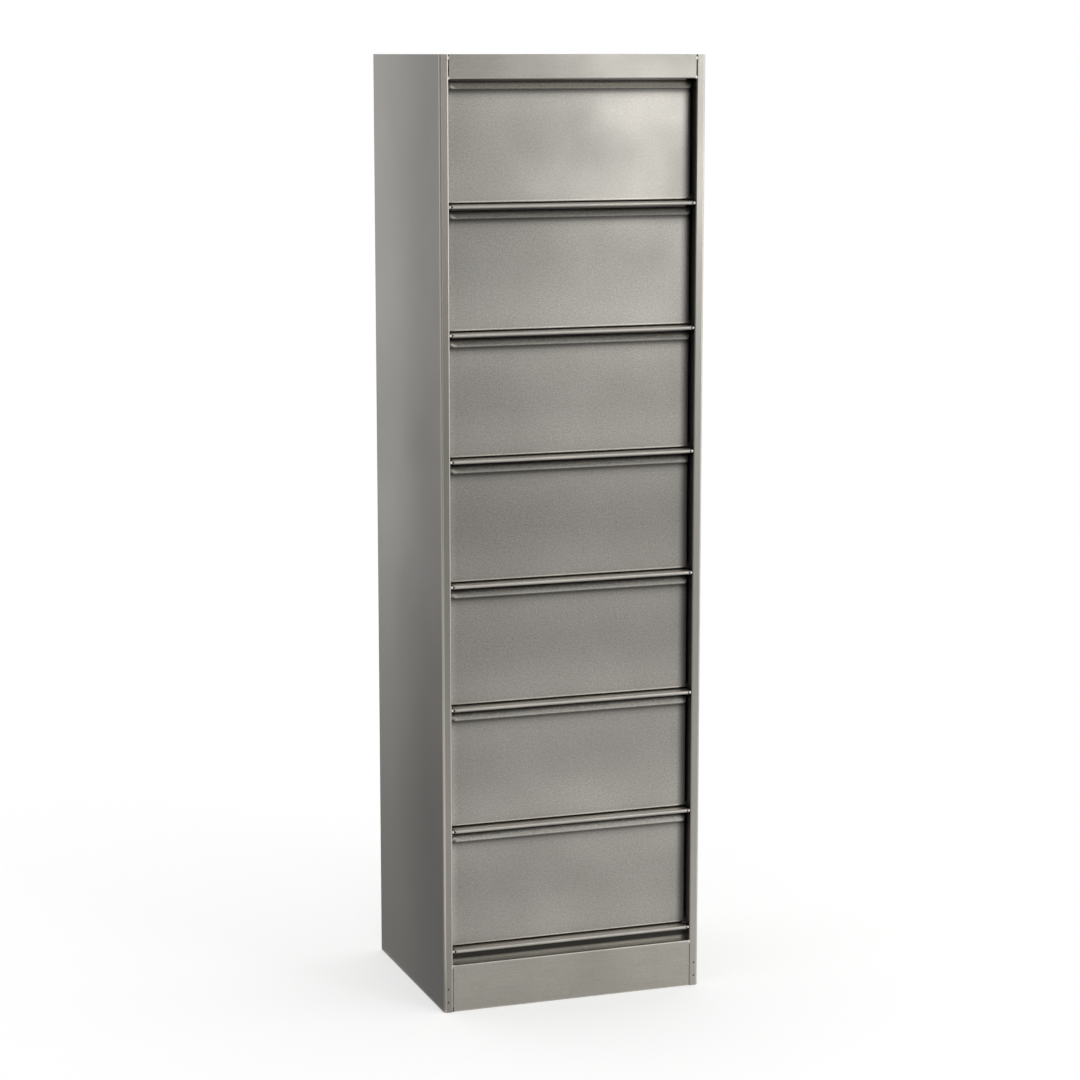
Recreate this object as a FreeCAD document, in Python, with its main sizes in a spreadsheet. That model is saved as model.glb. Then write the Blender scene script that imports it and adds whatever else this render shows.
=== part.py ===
import FreeCAD, Part
import math
import os
import Sketcher

# A tall steel flap cabinet. Seven document bays stand one above another. Each bay is closed by a flap
# that hangs on two pins at its lower edge and drops forward. The front faces -Y, the floor is z = 0,
# and the origin is the middle of the footprint. Lengths are in millimetres and angles in degrees.

SIZES = [
    # Outer form
    ("cabinet_width", 390.0, "over the two side panels"),
    ("cabinet_depth", 320.0, "stile fronts to the back"),
    ("bay_count", 7, "bays, one above another"),
    ("header_height", 33.0, "face of the header rail"),
    ("bay_height", 169.9, "clear height from a shelf to the nose above it"),
    ("nose_height", 6.0, "rolled front edge of a shelf"),
    ("toe_gap", 16.4, "shadow gap between the plinth and the lowest nose"),
    ("plinth_height", 69.3, "face of the plinth"),
    # Sheet and bends
    ("case_sheet", 1.2, "sheet of the case"),
    ("shelf_sheet", 1.0, "sheet of the shelves"),
    ("flap_sheet", 1.0, "sheet of the flaps"),
    ("back_sheet", 0.8, "sheet of the back panel"),
    ("corner_bend_inside", 1.8, "inside radius of the side panels' corner bends"),
    ("edge_bend_inside", 0.6, "inside radius of the narrow bends of the case"),
    ("flap_bend_inside", 1.5, "inside radius of the bend under a flap"),
    ("fold_inside", 0.6, "inside radius of the fold between a flap and its lip"),
    # Stiles and returns of the side panels
    ("stile_width", 13.3, "front face of a side panel"),
    ("jamb_depth", 30.0, "return of a stile into the opening"),
    ("back_flange", 14.0, "return of a side panel across the back"),
    ("seam_gap", 0.4, "joint between a stile and the header or plinth"),
    # Header, top, plinth and back
    ("header_return", 34.0, "depth of the header's lower return"),
    ("header_upturn", 12.0, "upturned end of the header's return"),
    ("top_flange", 15.0, "down-turned flanges of the top panel"),
    ("corner_clip", 8.0, "clear length at the end of a flange, next to a corner"),
    ("plinth_foot", 15.0, "inward return of the plinth on the floor"),
    ("back_foot", 15.0, "inward return of the back panel on the floor"),
    ("back_side_gap", 0.2, "between the back panel's edge and a corner bend"),
    # Shelves
    ("nose_return", 8.0, "flat under the rolled nose"),
    ("nose_end_gap", 3.0, "between a nose's end and the jamb"),
    ("nose_end_radius", 3.0, "rounding of a nose's ends, seen from above"),
    ("shelf_flange", 12.0, "down-turned flanges of a shelf"),
    ("notch_gap", 0.5, "between a shelf's notch and the back of a jamb"),
    # Flaps and lips
    ("flap_recess", 16.0, "flap faces behind the stile fronts"),
    ("flap_side_gap", 2.2, "between a flap's end and the jamb"),
    ("flap_bottom_gap", 1.5, "under a closed flap"),
    ("flap_top_gap", 2.6, "between a closed flap and the nose above it"),
    ("flap_return", 12.0, "depth of a flap's ends and lower return"),
    ("flap_edge_inside", 0.3, "inside radius of the upright bends between a flap and its ends"),
    ("ear_top_cut", 6.0, "bevel at the top of a flap's end"),
    ("lip_slope", 58.0, "lip below the horizontal, in degrees"),
    ("lip_setback", 7.5, "lip's free edge behind the stile fronts"),
    ("lip_inset", 0.8, "lip's end inside the flap's end"),
    ("lip_corner_radius", 8.0, "rounding of a lip's free corners"),
    # Pivots
    ("pivot_setback", 4.0, "pivot line behind a flap's face"),
    ("open_rest_gap", 0.3, "between an open flap and the shelf's nose"),
    ("pin_diameter", 3.0, "pivot pin"),
    ("pin_fit", 0.05, "radial play of a pin in its bush"),
    ("pin_engagement", 4.3, "pin past the face of the jamb"),
    ("bush_flange", 8.0, "square flange of a pivot bush"),
    ("bush_flange_sheet", 1.0, "flange of a pivot bush"),
    ("bush_barrel", 5.2, "square barrel of a pivot bush"),
    ("bush_length", 5.3, "barrel of a pivot bush past the face of the jamb"),
    ("bush_fit", 0.05, "between a bush's barrel and its hole, on each side"),
    # Stop rails and their pads
    ("rail_sheet", 1.2, "sheet of a stop rail"),
    ("rail_depth", 15.0, "level leg of a stop rail"),
    ("rail_drop", 19.0, "lower edge of a stop rail below the level of the next shelf"),
    ("rail_side_gap", 8.0, "between a stop rail's end and the jamb"),
    ("rest_gap", 0.3, "between a closed flap and its stop pads"),
    ("pad_proud", 1.5, "thickness of a stop pad"),
    ("pad_width", 14.0, "stop pad"),
    ("pad_height", 8.0, "stop pad"),
    ("pad_spacing", 300.0, "between a rail's two stop pads"),
    # Magnetic catches
    ("catch_drop", 13.5, "middle of a catch below the level of the next shelf"),
    ("catch_width", 56.0, "housing of a catch"),
    ("catch_height", 10.0, "housing of a catch"),
    ("catch_depth", 13.0, "housing of a catch"),
    ("pole_length", 32.0, "pole plate of a catch"),
    ("pole_sheet", 1.2, "pole plate of a catch"),
    ("pole_inset", 7.8, "pole plate inside its housing"),
    ("magnet_height", 3.6, "magnet between two pole plates"),
    ("magnet_sink", 1.2, "magnet behind the fronts of its pole plates"),
    ("magnet_play", 0.1, "between a magnet and its pole plates"),
    ("pocket_play", 0.3, "between the pole plates and the housing's pocket"),
    # Feet of the stiles
    ("gusset_height", 45.0, "gusset inside a stile's foot"),
    ("gusset_leg", 22.0, "leg of a gusset along the side"),
    ("gusset_clearance", 0.4, "between a gusset and the bends beside it"),
]

LEFT = -1
RIGHT = 1
CUT_MARGIN = 1.0  # how far a cutting shape reaches past the metal that it cuts


class Size:
    """A length that knows its value and the sheet expression that gives it."""

    def __init__(self, value, text):
        self.value = value
        self.text = text

    def __add__(self, other):
        other = as_size(other)
        return Size(self.value + other.value, f"({self.text} + {other.text})")

    def __sub__(self, other):
        other = as_size(other)
        return Size(self.value - other.value, f"({self.text} - {other.text})")

    def __mul__(self, other):
        other = as_size(other)
        return Size(self.value * other.value, f"({self.text} * {other.text})")

    def __truediv__(self, other):
        other = as_size(other)
        return Size(self.value / other.value, f"({self.text} / {other.text})")

    def __neg__(self):
        return Size(-self.value, f"(0 - {self.text})")


def as_size(number):
    """Give a plain number the form of a size."""
    if isinstance(number, Size):
        return number
    return Size(float(number), repr(float(number)))


def sine(angle):
    """Sine of an angle in degrees."""
    return Size(math.sin(math.radians(angle.value)), f"sin({angle.text} * 1 deg)")


def cosine(angle):
    """Cosine of an angle in degrees."""
    return Size(math.cos(math.radians(angle.value)), f"cos({angle.text} * 1 deg)")


class SizeSheet:
    """The sheet of driving sizes; each size is an attribute with the name of its cell."""

    def __init__(self, document):
        sheet = document.addObject("Spreadsheet::Sheet", "Sizes")
        for row, (alias, value, meaning) in enumerate(SIZES, start=1):
            sheet.set(f"A{row}", alias)
            sheet.set(f"B{row}", str(value))
            sheet.set(f"C{row}", meaning)
            sheet.setAlias(f"B{row}", alias)
            setattr(self, alias, Size(value, f"Sizes.{alias}"))


doc = FreeCAD.newDocument("flap_cabinet")
size = SizeSheet(doc)
doc.recompute()

# Levels and planes that several pieces share
bays = int(size.bay_count.value)
half_width = size.cabinet_width / 2
half_depth = size.cabinet_depth / 2
front = -half_depth
pitch = size.bay_height + size.nose_height
base_level = size.plinth_height + size.toe_gap + size.nose_height
header_bottom = base_level + pitch * size.bay_count - size.nose_height
cabinet_height = header_bottom + size.header_height
corner_radius = size.corner_bend_inside + size.case_sheet
edge_radius = size.edge_bend_inside + size.case_sheet
skin_inside = half_width - size.case_sheet
opening_half = half_width - size.stile_width
back_face = half_depth - size.case_sheet
back_front = back_face - size.back_sheet
behind_jambs = front + size.jamb_depth + size.notch_gap
flap_face = front + size.flap_recess
flap_half = opening_half - size.flap_side_gap
pivot_y = flap_face + size.pivot_setback
pivot_height = size.pivot_setback + size.open_rest_gap
pin_radius = size.pin_diameter / 2
rail_front = flap_face + size.flap_sheet + size.rest_gap + size.pad_proud
rail_back = rail_front + size.rail_sheet
pole_front = flap_face + size.flap_sheet + size.rest_gap


def bay_level(index):
    """Top of the shelf under bay number index, counted from 0 at the floor."""
    return base_level + pitch * index


class Vertex:
    """A point of an outline; where an arc leaves it, also the arc's radius, centre and turn."""

    def __init__(self, across, up, radius=None, centre=None, turn=1):
        self.across = as_size(across)
        self.up = as_size(up)
        self.radius = radius
        self.centre = centre
        self.turn = turn

    def point(self):
        return FreeCAD.Vector(self.across.value, self.up.value, 0)

    def is_half_round(self, finish):
        """Whether the arc to the next vertex is a half circle that stands on an upright chord."""
        chord = self.point().distanceToPoint(finish.point())
        return math.isclose(chord, 2 * self.radius.value)


def stepped(position, direction, distance):
    """Move a position by a distance in direction -1, 0 or 1."""
    if direction > 0:
        return position + distance
    if direction < 0:
        return position - distance
    return position


def side_direction(start, finish):
    """Direction of a side that runs across or up, as a pair of -1, 0 or 1."""
    across = finish[0].value - start[0].value
    up = finish[1].value - start[1].value
    if abs(across) > abs(up):
        return (int(math.copysign(1, across)), 0)
    return (0, int(math.copysign(1, up)))


def rounded(corners):
    """Vertices of an outline with square corners, given as (across, up, radius or None)."""
    corners = [(as_size(across), as_size(up), radius) for across, up, radius in corners]
    vertices = []
    for index, corner in enumerate(corners):
        across, up, radius = corner
        if radius is None:
            vertices.append(Vertex(across, up))
            continue
        into = side_direction(corners[index - 1], corner)
        away = side_direction(corner, corners[(index + 1) % len(corners)])
        reach = radius.value
        centre = (
            across.value + (away[0] - into[0]) * reach,
            up.value + (away[1] - into[1]) * reach,
        )
        turn = into[0] * away[1] - into[1] * away[0]
        arc_start = Vertex(
            stepped(across, -into[0], radius), stepped(up, -into[1], radius), radius, centre, turn
        )
        arc_end = Vertex(stepped(across, away[0], radius), stepped(up, away[1], radius))
        vertices.extend((arc_start, arc_end))
    return vertices


def rectangle(across_low, across_high, up_low, up_high):
    """Vertices of a rectangle."""
    return [
        Vertex(across_low, up_low),
        Vertex(across_high, up_low),
        Vertex(across_high, up_high),
        Vertex(across_low, up_high),
    ]


def bind(owner, name, length):
    """Drive a property or constraint by the sheet."""
    owner.setExpression(name, as_size(length).text)


def bind_constraint(sketch, constraint, length):
    """Add a dimension to a sketch and drive it by the sheet."""
    number = sketch.addConstraint(constraint)
    bind(sketch, f"Constraints[{number}]", length)


def place_point(sketch, edge, end, across, up):
    """Hold one point of a sketch at its distances from the sketch's origin."""
    across = as_size(across)
    up = as_size(up)
    bind_constraint(sketch, Sketcher.Constraint("DistanceX", -1, 1, edge, end, across.value), across)
    bind_constraint(sketch, Sketcher.Constraint("DistanceY", -1, 1, edge, end, up.value), up)


def arc_curve(vertex, finish):
    """The arc from a vertex to the next one."""
    centre = FreeCAD.Vector(vertex.centre[0], vertex.centre[1], 0)
    first, last = (vertex, finish) if vertex.turn > 0 else (finish, vertex)
    start_arm = first.point() - centre
    end_arm = last.point() - centre
    start_angle = math.atan2(start_arm.y, start_arm.x)
    end_angle = math.atan2(end_arm.y, end_arm.x)
    if end_angle <= start_angle:
        end_angle += 2 * math.pi
    circle = Part.Circle(centre, FreeCAD.Vector(0, 0, 1), vertex.radius.value)
    return Part.ArcOfCircle(circle, start_angle, end_angle)


def draw_outline(sketch, vertices):
    """Draw a closed outline of lines and arcs, held by the sheet."""
    edges = []
    for index, vertex in enumerate(vertices):
        finish = vertices[(index + 1) % len(vertices)]
        if vertex.radius is None:
            line = Part.LineSegment(vertex.point(), finish.point())
            edges.append((sketch.addGeometry(line, False), 1, 2))
            continue
        edge = sketch.addGeometry(arc_curve(vertex, finish), False)
        edges.append((edge, 1, 2) if vertex.turn > 0 else (edge, 2, 1))
        if vertex.is_half_round(finish):
            # Its ends give its radius, so only its centre is held
            middle = Sketcher.Constraint("DistanceX", -1, 1, edge, 3, vertex.across.value)
            bind_constraint(sketch, middle, vertex.across)
            continue
        radius = Sketcher.Constraint("Radius", edge, vertex.radius.value)
        bind_constraint(sketch, radius, vertex.radius)
    for index, (edge, start, end) in enumerate(edges):
        next_edge, next_start, _ = edges[(index + 1) % len(edges)]
        sketch.addConstraint(Sketcher.Constraint("Coincident", edge, end, next_edge, next_start))
        place_point(sketch, edge, start, vertices[index].across, vertices[index].up)


def draw_square(sketch, across, up, half):
    """Draw a square about a point, held by the sheet."""
    across = as_size(across)
    up = as_size(up)
    draw_outline(sketch, rectangle(across - half, across + half, up - half, up + half))


def draw_circle(sketch, across, up, radius):
    """Draw a circle, held by the sheet."""
    middle = FreeCAD.Vector(as_size(across).value, as_size(up).value, 0)
    circle = Part.Circle(middle, FreeCAD.Vector(0, 0, 1), radius.value)
    edge = sketch.addGeometry(circle, False)
    place_point(sketch, edge, 3, across, up)
    bind_constraint(sketch, Sketcher.Constraint("Radius", edge, radius.value), radius)


def new_body(label):
    """Start a sub-part."""
    body = doc.addObject("PartDesign::Body", label)
    body.Label = label
    body.AllowCompound = True
    return body


def origin_feature(body, role):
    """A plane or axis of a body's own origin."""
    return next(item for item in body.Origin.OriginFeatures if item.Role == role)


# The XZ plane faces -Y, so places and directions along Y change sign there
PLANE_SIGN = {"XY_Plane": 1, "XZ_Plane": -1, "YZ_Plane": 1}


def new_sketch(body, plane, position=0.0):
    """Start a sketch on a plane of the body's origin, moved along the plane's own axis."""
    sketch = body.newObject("Sketcher::SketchObject", "Sketch")
    sketch.AttachmentSupport = [(origin_feature(body, plane), "")]
    sketch.MapMode = "FlatFace"
    offset = as_size(position) * PLANE_SIGN[plane]
    sketch.AttachmentOffset = FreeCAD.Placement(
        FreeCAD.Vector(0, 0, offset.value), FreeCAD.Rotation()
    )
    bind(sketch, "AttachmentOffset.Base.z", offset)
    return sketch


def plane_of(sketch):
    """Role of the origin plane that a sketch lies on."""
    return sketch.AttachmentSupport[0][0].Role


def add_pad(body, sketch, length, towards=None):
    """Thicken a sketch along its plane's axis: towards -1 or +1, or to both sides alike."""
    feature = body.newObject("PartDesign::Pad", "Pad")
    feature.Profile = sketch
    bind(feature, "Length", length)
    feature.SideType = "Symmetric" if towards is None else "One side"
    feature.Reversed = towards is not None and towards * PLANE_SIGN[plane_of(sketch)] < 0
    doc.recompute()
    return feature


def add_pocket(body, sketch, length, towards=None):
    """Cut a sketch out of the body along its plane's axis: towards -1 or +1, or to both sides alike."""
    before = body.Tip.Shape.Volume
    feature = body.newObject("PartDesign::Pocket", "Pocket")
    feature.Profile = sketch
    bind(feature, "Length", length)
    feature.SideType = "Symmetric" if towards is None else "One side"
    feature.Reversed = towards is not None and towards * PLANE_SIGN[plane_of(sketch)] > 0
    doc.recompute()
    if not feature.Shape.Volume < before:
        raise RuntimeError(f"a pocket of {body.Label} cuts nothing")
    return feature


def add_fillet(body, radius, chosen):
    """Round the edges that a test chooses."""
    base = body.Tip
    names = [f"Edge{number}" for number, edge in enumerate(base.Shape.Edges, 1) if chosen(edge)]
    if not names:
        raise RuntimeError(f"a fillet of {body.Label} finds no edge")
    feature = body.newObject("PartDesign::Fillet", "Fillet")
    feature.Base = (base, names)
    bind(feature, "Radius", radius)
    doc.recompute()
    return feature


def repeat_up(body, originals):
    """Repeat features at every bay, one pitch apart."""
    feature = body.newObject("PartDesign::LinearPattern", "Pattern")
    feature.Originals = originals
    feature.Direction = (origin_feature(body, "Z_Axis"), [""])
    feature.Mode = "Spacing"
    bind(feature, "Offset", pitch)
    bind(feature, "Occurrences", size.bay_count)
    body.Tip = feature
    doc.recompute()
    return feature


def put_at(body, along_y, along_z):
    """Place a body whose own origin lies on the cabinet's middle plane."""
    bind(body, "Placement.Base.y", along_y)
    bind(body, "Placement.Base.z", along_z)
    return body


def is_near(edge, x, y, z):
    """Whether an edge's middle is at a point."""
    low, high = edge.ParameterRange
    middle = edge.valueAt((low + high) / 2)
    return middle.distanceToPoint(FreeCAD.Vector(x, y, z)) < 0.01


# Case

def side_panel(label, side):
    """Side sheet bent round the front into a stile and jamb, and round the back into a flange."""
    stile_inside = half_width - size.stile_width
    jamb_inside = stile_inside + size.case_sheet
    flange_end = half_width - size.back_flange
    front_inside = front + size.case_sheet
    jamb_end = front + size.jamb_depth
    corners = [
        (flange_end, half_depth, None),
        (half_width, half_depth, corner_radius),
        (half_width, front, corner_radius),
        (stile_inside, front, edge_radius),
        (stile_inside, jamb_end, None),
        (jamb_inside, jamb_end, None),
        (jamb_inside, front_inside, size.edge_bend_inside),
        (skin_inside, front_inside, size.corner_bend_inside),
        (skin_inside, back_face, size.corner_bend_inside),
        (flange_end, back_face, None),
    ]
    body = new_body(label)
    profile = new_sketch(body, "XY_Plane")
    draw_outline(profile, rounded([(x * side, y, radius) for x, y, radius in corners]))
    add_pad(body, profile, cabinet_height, towards=1)

    # The jamb and back flange stop under the top panel
    seat = new_sketch(body, "XZ_Plane", front_inside)
    seat_low = cabinet_height - size.case_sheet
    seat_end = stile_inside - CUT_MARGIN
    across = sorted((skin_inside * side, seat_end * side), key=lambda place: place.value)
    draw_outline(seat, rectangle(across[0], across[1], seat_low, cabinet_height + CUT_MARGIN))
    add_pocket(body, seat, size.cabinet_depth, towards=1)

    holes = new_sketch(body, "YZ_Plane")
    hole_half = size.bush_barrel / 2 + size.bush_fit
    for index in range(bays):
        draw_square(holes, pivot_y, bay_level(index) + pivot_height, hole_half)
    add_pocket(body, holes, jamb_inside + CUT_MARGIN, towards=side)
    return body


def back_panel():
    """Flat sheet inside the back flanges, turned in along the floor."""
    bend = size.edge_bend_inside
    top = cabinet_height - size.case_sheet
    foot_end = back_face - size.back_foot
    body = new_body("back_panel")
    profile = new_sketch(body, "YZ_Plane")
    corners = [
        (back_face, 0.0, bend + size.back_sheet),
        (back_face, top, None),
        (back_front, top, None),
        (back_front, size.back_sheet, bend),
        (foot_end, size.back_sheet, None),
        (foot_end, 0.0, None),
    ]
    draw_outline(profile, rounded(corners))
    half = skin_inside - size.corner_bend_inside - size.back_side_gap
    add_pad(body, profile, half * 2)
    return body


def top_panel():
    """Lid let in between the side panels, with a down-turned flange on each side."""
    underside = cabinet_height - size.case_sheet
    front_inside = front + size.case_sheet
    body = new_body("top_panel")
    plate = new_sketch(body, "XY_Plane", underside)
    bend = size.corner_bend_inside
    corners = [
        (-skin_inside, front_inside, bend),
        (skin_inside, front_inside, bend),
        (skin_inside, back_face, bend),
        (-skin_inside, back_face, bend),
    ]
    draw_outline(plate, rounded(corners))
    add_pad(body, plate, size.case_sheet, towards=1)

    flanges = new_sketch(body, "XY_Plane", cabinet_height - size.case_sheet / 2)
    side_in = skin_inside - size.case_sheet
    side_end = back_front - size.corner_clip
    back_half = skin_inside - size.corner_clip
    front_half = opening_half - size.seam_gap
    draw_outline(flanges, rectangle(side_in, skin_inside, behind_jambs, side_end))
    draw_outline(flanges, rectangle(-skin_inside, -side_in, behind_jambs, side_end))
    draw_outline(flanges, rectangle(-back_half, back_half, back_front - size.case_sheet, back_front))
    draw_outline(
        flanges, rectangle(-front_half, front_half, front_inside, front_inside + size.case_sheet)
    )
    add_pad(body, flanges, size.top_flange, towards=-1)
    return body


def header_rail():
    """Front rail over the top flap, returned under itself and turned up at the back."""
    inside = front + size.case_sheet
    return_end = front + size.header_return
    return_top = header_bottom + size.case_sheet
    upturn_top = header_bottom + size.header_upturn
    body = new_body("header_rail")
    profile = new_sketch(body, "YZ_Plane")
    corners = [
        (front, cabinet_height, None),
        (front, header_bottom, edge_radius),
        (return_end, header_bottom, edge_radius),
        (return_end, upturn_top, None),
        (return_end - size.case_sheet, upturn_top, None),
        (return_end - size.case_sheet, return_top, size.edge_bend_inside),
        (inside, return_top, size.edge_bend_inside),
        (inside, cabinet_height, None),
    ]
    draw_outline(profile, rounded(corners))
    add_pad(body, profile, (opening_half - size.seam_gap) * 2)
    return body


def plinth():
    """Kick plate with a foot return, a ledge and a riser that closes the shadow gap."""
    inside = front + size.case_sheet
    foot_end = front + size.plinth_foot
    ledge_under = size.plinth_height - size.case_sheet
    riser_back = flap_face + size.case_sheet
    riser_top = base_level - size.shelf_sheet
    body = new_body("plinth")
    profile = new_sketch(body, "YZ_Plane")
    corners = [
        (foot_end, 0.0, None),
        (front, 0.0, edge_radius),
        (front, size.plinth_height, edge_radius),
        (flap_face, size.plinth_height, size.edge_bend_inside),
        (flap_face, riser_top, None),
        (riser_back, riser_top, None),
        (riser_back, ledge_under, edge_radius),
        (inside, ledge_under, size.edge_bend_inside),
        (inside, size.case_sheet, size.edge_bend_inside),
        (foot_end, size.case_sheet, None),
    ]
    draw_outline(profile, rounded(corners))
    add_pad(body, profile, (opening_half - size.seam_gap) * 2)
    return body


def foot_gusset(label, side):
    """Angle bar that stiffens a stile's foot from inside."""
    corner_y = front + size.case_sheet
    inner_edge = opening_half + edge_radius + size.gusset_clearance
    leg_end = corner_y + size.gusset_leg
    corners = [
        (inner_edge, corner_y, None),
        (skin_inside, corner_y, size.corner_bend_inside + size.gusset_clearance),
        (skin_inside, leg_end, None),
        (skin_inside - size.case_sheet, leg_end, None),
        (skin_inside - size.case_sheet, corner_y + size.case_sheet, None),
        (inner_edge, corner_y + size.case_sheet, None),
    ]
    body = new_body(label)
    profile = new_sketch(body, "XY_Plane")
    draw_outline(profile, rounded([(x * side, y, radius) for x, y, radius in corners]))
    add_pad(body, profile, size.gusset_height, towards=1)
    return body


# Shelves

def nose_profile():
    """Section of the rolled nose: the shelf sheet, a half round and a flat beneath."""
    sheet = size.shelf_sheet
    outer = size.nose_height / 2
    inner = outer - sheet
    roll_y = front + outer
    lap_end = flap_face
    centre = (roll_y.value, -outer.value)
    return [
        Vertex(lap_end, 0.0),
        Vertex(roll_y, 0.0, outer, centre, turn=1),
        Vertex(roll_y, -size.nose_height),
        Vertex(roll_y + size.nose_return, -size.nose_height),
        Vertex(roll_y + size.nose_return, sheet - size.nose_height),
        Vertex(roll_y, sheet - size.nose_height, inner, centre, turn=-1),
        Vertex(roll_y, -sheet),
        Vertex(lap_end, -sheet),
    ]


def nose_end_cut(side, nose_half):
    """What is cut from a nose's end so that it is round when seen from above."""
    radius = size.nose_end_radius
    tip = nose_half - radius
    centre = (tip.value * side, front.value + radius.value)
    outside = nose_half + CUT_MARGIN
    ahead = front - CUT_MARGIN
    return [
        Vertex(tip * side, front, radius, centre, turn=side),
        Vertex(nose_half * side, front + radius),
        Vertex(outside * side, front + radius),
        Vertex(outside * side, ahead),
        Vertex(tip * side, ahead),
    ]


def shelf(label, level):
    """Shelf notched round the jambs, with a rolled nose and three down-turned flanges."""
    sheet = size.shelf_sheet
    nose_half = opening_half - size.nose_end_gap
    tongue_start = front + size.nose_height
    flange_end = back_front - size.corner_clip
    back_half = skin_inside - size.corner_clip
    body = new_body(label)
    plate = new_sketch(body, "XY_Plane")
    corners = [
        (-nose_half, tongue_start, None),
        (nose_half, tongue_start, None),
        (nose_half, behind_jambs, None),
        (skin_inside, behind_jambs, None),
        (skin_inside, back_front, corner_radius),
        (-skin_inside, back_front, corner_radius),
        (-skin_inside, behind_jambs, None),
        (-nose_half, behind_jambs, None),
    ]
    draw_outline(plate, rounded(corners))
    add_pad(body, plate, sheet, towards=-1)

    nose = new_sketch(body, "YZ_Plane")
    draw_outline(nose, nose_profile())
    add_pad(body, nose, nose_half * 2)
    ends = new_sketch(body, "XY_Plane", CUT_MARGIN)
    for side in (LEFT, RIGHT):
        draw_outline(ends, nose_end_cut(side, nose_half))
    add_pocket(body, ends, size.nose_height + 2 * CUT_MARGIN, towards=-1)

    flanges = new_sketch(body, "XY_Plane", -sheet / 2)
    draw_outline(flanges, rectangle(skin_inside - sheet, skin_inside, behind_jambs, flange_end))
    draw_outline(flanges, rectangle(-skin_inside, sheet - skin_inside, behind_jambs, flange_end))
    draw_outline(flanges, rectangle(-back_half, back_half, back_front - sheet, back_front))
    add_pad(body, flanges, size.shelf_flange, towards=-1)
    return put_at(body, 0.0, level)


# Flaps, drawn about their pivot line

def flap(label, level):
    """Flap with two ends, a lower return and a folded visor lip."""
    sheet = size.flap_sheet
    face = -size.pivot_setback
    face_back = face + sheet
    bottom = size.flap_bottom_gap - pivot_height
    return_end = face + size.flap_return
    fold_outer = size.fold_inside + sheet
    fold_y = face_back - fold_outer
    fold_z = size.bay_height - size.flap_top_gap - pivot_height - fold_outer
    edge_outer = size.flap_edge_inside + sheet
    bend_outer = size.flap_bend_inside + sheet
    bend_start = bottom + bend_outer
    inside = flap_half - sheet
    body = new_body(label)

    # Face and ends are one bent sheet, seen from above
    section = new_sketch(body, "XY_Plane", bend_start)
    corners = [
        (-flap_half, return_end, None),
        (-flap_half, face, edge_outer),
        (flap_half, face, edge_outer),
        (flap_half, return_end, None),
        (inside, return_end, None),
        (inside, face_back, size.flap_edge_inside),
        (-inside, face_back, size.flap_edge_inside),
        (-inside, return_end, None),
    ]
    draw_outline(section, rounded(corners))
    add_pad(body, section, fold_z - bend_start, towards=1)
    bevel = new_sketch(body, "YZ_Plane")
    triangle = [
        Vertex(return_end, fold_z - size.ear_top_cut),
        Vertex(return_end, fold_z),
        Vertex(return_end - size.ear_top_cut, fold_z),
    ]
    draw_outline(bevel, triangle)
    add_pocket(body, bevel, size.cabinet_width)

    # The lower return stops short of the ends, which go down beside it
    lower = new_sketch(body, "YZ_Plane")
    corners = [
        (return_end, bottom, None),
        (face, bottom, bend_outer),
        (face, bend_start + CUT_MARGIN, None),
        (face_back, bend_start + CUT_MARGIN, None),
        (face_back, bottom + sheet, size.flap_bend_inside),
        (return_end, bottom + sheet, None),
    ]
    draw_outline(lower, rounded(corners))
    add_pad(body, lower, (flap_half - edge_outer) * 2)
    for side in (LEFT, RIGHT):
        foot = new_sketch(body, "YZ_Plane", flap_half * side)
        draw_outline(foot, rectangle(face + edge_outer, return_end, bottom, bend_start + CUT_MARGIN))
        add_pad(body, foot, sheet, towards=-side)

    lip_end = add_lip(body, fold_y, fold_z, fold_outer)
    add_fillet(
        body,
        size.lip_corner_radius,
        lambda edge: any(is_near(edge, side * lip_end[0], lip_end[1], lip_end[2]) for side in (LEFT, RIGHT)),
    )
    return put_at(body, pivot_y, level + pivot_height)


def add_lip(body, fold_y, fold_z, fold_outer):
    """Fold the flap's top forward and down into its finger lip; give the middle of the free end."""
    sheet = size.flap_sheet
    run = cosine(size.lip_slope)
    fall = sine(size.lip_slope)
    inner = size.fold_inside
    overlap = fold_z - size.flap_return
    tip_y = front + size.lip_setback - pivot_y
    outer_y = fold_y - fold_outer * fall
    outer_z = fold_z + fold_outer * run
    length = (outer_y - tip_y) / run
    tip_z = outer_z - length * fall
    under_y = tip_y + sheet * fall
    under_z = tip_z - sheet * run
    centre = (fold_y.value, fold_z.value)
    lip_half = flap_half - size.lip_inset
    profile = new_sketch(body, "YZ_Plane")
    vertices = [
        Vertex(fold_y + fold_outer, overlap),
        Vertex(fold_y + fold_outer, fold_z, fold_outer, centre, turn=1),
        Vertex(outer_y, outer_z),
        Vertex(tip_y, tip_z),
        Vertex(under_y, under_z),
        Vertex(fold_y - inner * fall, fold_z + inner * run, inner, centre, turn=-1),
        Vertex(fold_y + inner, fold_z),
        Vertex(fold_y + inner, overlap),
    ]
    draw_outline(profile, vertices)
    add_pad(body, profile, lip_half * 2)
    middle_y = (tip_y.value + under_y.value) / 2
    middle_z = (tip_z.value + under_z.value) / 2
    return (lip_half.value, middle_y, middle_z)


def pivot_pins(label, level):
    """The two stub pins welded to a flap's ends."""
    length = opening_half + size.pin_engagement - flap_half
    body = new_body(label)
    for side in (LEFT, RIGHT):
        section = new_sketch(body, "YZ_Plane", flap_half * side)
        draw_circle(section, 0.0, 0.0, pin_radius)
        add_pad(body, section, length, towards=side)
    return put_at(body, pivot_y, level + pivot_height)


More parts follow.
